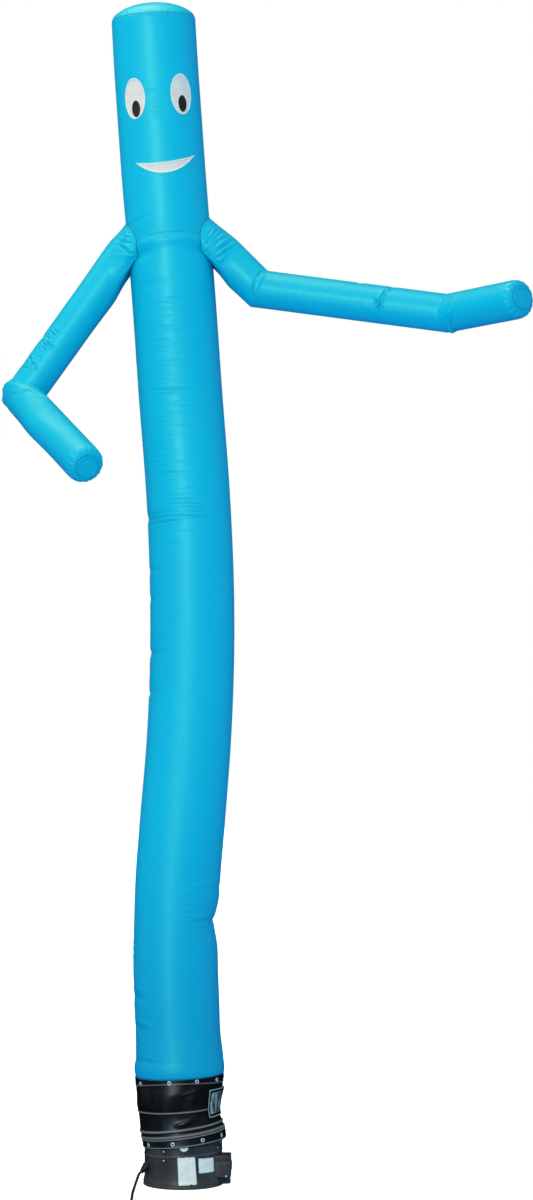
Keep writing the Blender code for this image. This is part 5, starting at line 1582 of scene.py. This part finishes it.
NEAR_HAND = np.array([0.030, 0.026, 0.022, 0.018, 0.014, 0.011, 0.008, 0.006, 0.004, 0.002, 0.0])
for side_name, arm in (("left", LEFT_ARM), ("right", RIGHT_ARM)):
    arm_corners, arm_along, arm_upper = arm_sections(arm)
    arm_lengths = np.linalg.norm(np.diff(arm_corners, axis=0), axis=1)
    arm_run = np.concatenate([[0.0], np.cumsum(arm_lengths)])
    near_hand = arm_run[-1] - NEAR_HAND
    arm_rows = spaced(0.0015, near_hand[0] - 0.004, 0.0095, arm["windows"])
    from_corner = np.abs(arm_rows[:, None] - arm_run[1:-1]).min(axis=1)
    arm_rows = np.sort(np.concatenate([arm_rows[from_corner > 0.0015], arm_run[1:-1], near_hand]))
    arm_travel = np.interp(arm_rows, arm_run, np.arange(len(arm_run)))[:, None]
    arm_angle = np.linspace(0.0, 2 * math.pi, 149)[None, :]
    arm_angle, arm_travel = np.broadcast_arrays(arm_angle, arm_travel)
    arm_points, arm_distance = arm_point(arm, arm_angle, arm_travel)
    arm_long = float(arm_distance.max())
    arm_maps = {"cloth": np.stack([ARM_RADIUS * arm_angle, arm_distance], axis=-1)}
    arm_marks = {
        "ring_seam": np.minimum(arm_distance, arm_long - arm_distance),
        "side_seam": ARM_RADIUS * np.abs(arm_angle - math.pi),
    }
    arm_surface = surface(arm_points, wraps=True, maps=arm_maps, marks=arm_marks)
    sleeve = piece(f"{side_name}_sleeve", [arm_surface], blue_cloth, CLOTH_THICK)
    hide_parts(f"{side_name}_arm")

    # The hand's disc: a flat round patch with a raised ring seam.
    disc_share = np.concatenate([np.linspace(1.0, 0.84, 13), np.linspace(0.8, 0.1, 9), [0.0]])
    disc_share = disc_share[:, None]
    disc_angle = np.linspace(0.0, 2 * math.pi, 97)[None, :]
    disc_cosine, disc_sine = np.cos(disc_angle)[..., None], np.sin(disc_angle)[..., None]
    disc_side = np.cross(arm_along[-1], arm_upper[-1])
    disc_out = disc_cosine * arm_upper[-1] + disc_sine * disc_side
    disc_lift = 0.0002 + bead(disc_share, *HAND_RING) + HAND_BULGE * (1 - disc_share**2)
    disc_lift = disc_lift + 0.0007 * np.sin(5 * disc_angle + 8 * disc_share) * (1 - disc_share)
    disc_radius = HAND_RADIUS * disc_share[..., None]
    disc_points = arm_corners[-1] + disc_radius * disc_out + disc_lift[..., None] * arm_along[-1]
    disc_plan = disc_radius * np.concatenate([disc_cosine, disc_sine], axis=-1)
    hand_marks = disc_marks(HAND_RADIUS, disc_share, disc_angle)
    disc_surface = surface(disc_points, True, (False, True), {"cloth": disc_plan}, hand_marks)
    disc = piece(f"{side_name}_hand_disc", [disc_surface], blue_cloth, CLOTH_THICK)
    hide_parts(f"{side_name}_arm_end")


# ---------------------------------------------------------------- face
# Eyes, pupils and smile are flat patches of cloth, sewn to the head with a raised border of
# satin stitch in the same colour.


def patch_finish(name, field, border):
    """A patch's cloth: a plain weave within a border of close stitches across its edge."""
    bench = Bench(bpy.data.materials.new(name))
    uv = bench.node("UVMap", {"uv_map": "patch"})
    run = bench.axis(uv, 0)
    inward = bench.axis(uv, 1)
    stitched = 1.0 - inward.rise(0.0075, 0.0090)
    satin = run.math("PINGPONG", 0.0007).rise(0.0, 0.0007) * stitched
    soil = bench.noise(bench.place(), 24.0, 4.0)
    weave = bench.noise(bench.place(), 700.0, 2.0)
    colour = bench.blend(soil.rise(0.3, 0.8) * 0.6, field[0], field[1])
    colour = bench.blend(stitched, colour, border)
    return bench.finish(
        {
            "Base Color": colour,
            "Roughness": 0.62 - stitched * 0.18,
            "Specular IOR Level": 0.35,
            "Sheen Weight": 0.15,
            "Normal": bench.relief(satin, 0.0005, bench.relief(weave, 0.0004)),
        }
    )


white_field = (paint(228, 212, 205), paint(210, 195, 188))
black_field = (paint(24, 22, 24), paint(38, 36, 38))
white_cloth = patch_finish("white_cloth", white_field, paint(244, 234, 226))
black_cloth = patch_finish("black_cloth", black_field, paint(16, 15, 17))
PATCH_THICK, PATCH_OFF, BORDER_PROUD = 0.0009, 0.0012, 0.0020


def oval_patch(azimuth, height, reach, half_height, out, border):
    """An oval by angle and share of the way out, its border a bead at its edge."""
    share = np.concatenate([np.linspace(1.0, 0.84, 13), np.linspace(0.78, 0.1, 9), [0.0]])[:, None]
    angle = np.linspace(0.0, 2 * math.pi, 105)[None, :]
    mean = (half_height + BODY_RADIUS * math.radians(reach)) / 2
    inward = mean * (1 - share) + 0.0 * angle
    lift = out + bead(inward, border / 2, border / 2, BORDER_PROUD)
    across = azimuth + reach * share * np.cos(angle)
    points = body_point(across, height + half_height * share * np.sin(angle), lift)
    patch = np.stack(np.broadcast_arrays(mean * angle, inward), axis=-1)
    return surface(points, True, (False, True), maps={"patch": patch})


# Where each eye and its pupil are, by azimuth and height.
EYES = {"left": (-32.0, 5.609, -30.3, 5.556), "right": (35.0, 5.618, 35.3, 5.569)}
for side_name, (eye_azimuth, eye_height, pupil_azimuth, pupil_height) in EYES.items():
    eye_oval = oval_patch(eye_azimuth, eye_height, 16.3, 0.106, PATCH_OFF, 0.008)
    eye = piece(f"{side_name}_eye_patch", [eye_oval], white_cloth, PATCH_THICK)
    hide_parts(f"{side_name}_eye")
    pupil_oval = oval_patch(pupil_azimuth, pupil_height, 6.2, 0.043, 0.0022, 0.005)
    pupil = piece(f"{side_name}_pupil_patch", [pupil_oval], black_cloth, PATCH_THICK)
    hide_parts(f"{side_name}_pupil")

# The smile: a crescent between two parabolas that hang from its tips, one sagging more.
SMILE_AZIMUTH, SMILE_HEIGHT, SMILE_REACH = 6.5, 5.292, 44.0
SMILE_TOP_SAG, SMILE_BOTTOM_SAG, SMILE_TILT = 0.022, 0.080, 0.012
SMILE_HALF_LONG, SMILE_BORDER = 0.168, 0.0080
smile_across = np.sin(np.linspace(-0.5, 0.5, 129) * math.pi)[None, :]
smile_share = ((1 - np.cos(np.linspace(0.0, 1.0, 27) * math.pi)) / 2)[:, None]
smile_sag = SMILE_BOTTOM_SAG + (SMILE_TOP_SAG - SMILE_BOTTOM_SAG) * smile_share
smile_height = SMILE_HEIGHT - smile_sag * (1 - smile_across**2) + SMILE_TILT * smile_across
smile_tall = (SMILE_BOTTOM_SAG - SMILE_TOP_SAG) * (1 - smile_across**2)
smile_inward = smile_tall * np.minimum(smile_share, 1 - smile_share)
smile_border = np.minimum(smile_inward, SMILE_BORDER)
smile_lift = PATCH_OFF + bead(smile_border, SMILE_BORDER / 2, SMILE_BORDER / 2, BORDER_PROUD)
smile_points = body_point(SMILE_AZIMUTH + SMILE_REACH * smile_across, smile_height, smile_lift)
smile_run = SMILE_HALF_LONG * smile_across + 0.0 * smile_share
smile_patch = np.stack(np.broadcast_arrays(smile_run, smile_inward), axis=-1)
smile_surface = surface(smile_points, maps={"patch": smile_patch})
smile = piece("smile_patch", [smile_surface], white_cloth, PATCH_THICK)
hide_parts("smile")
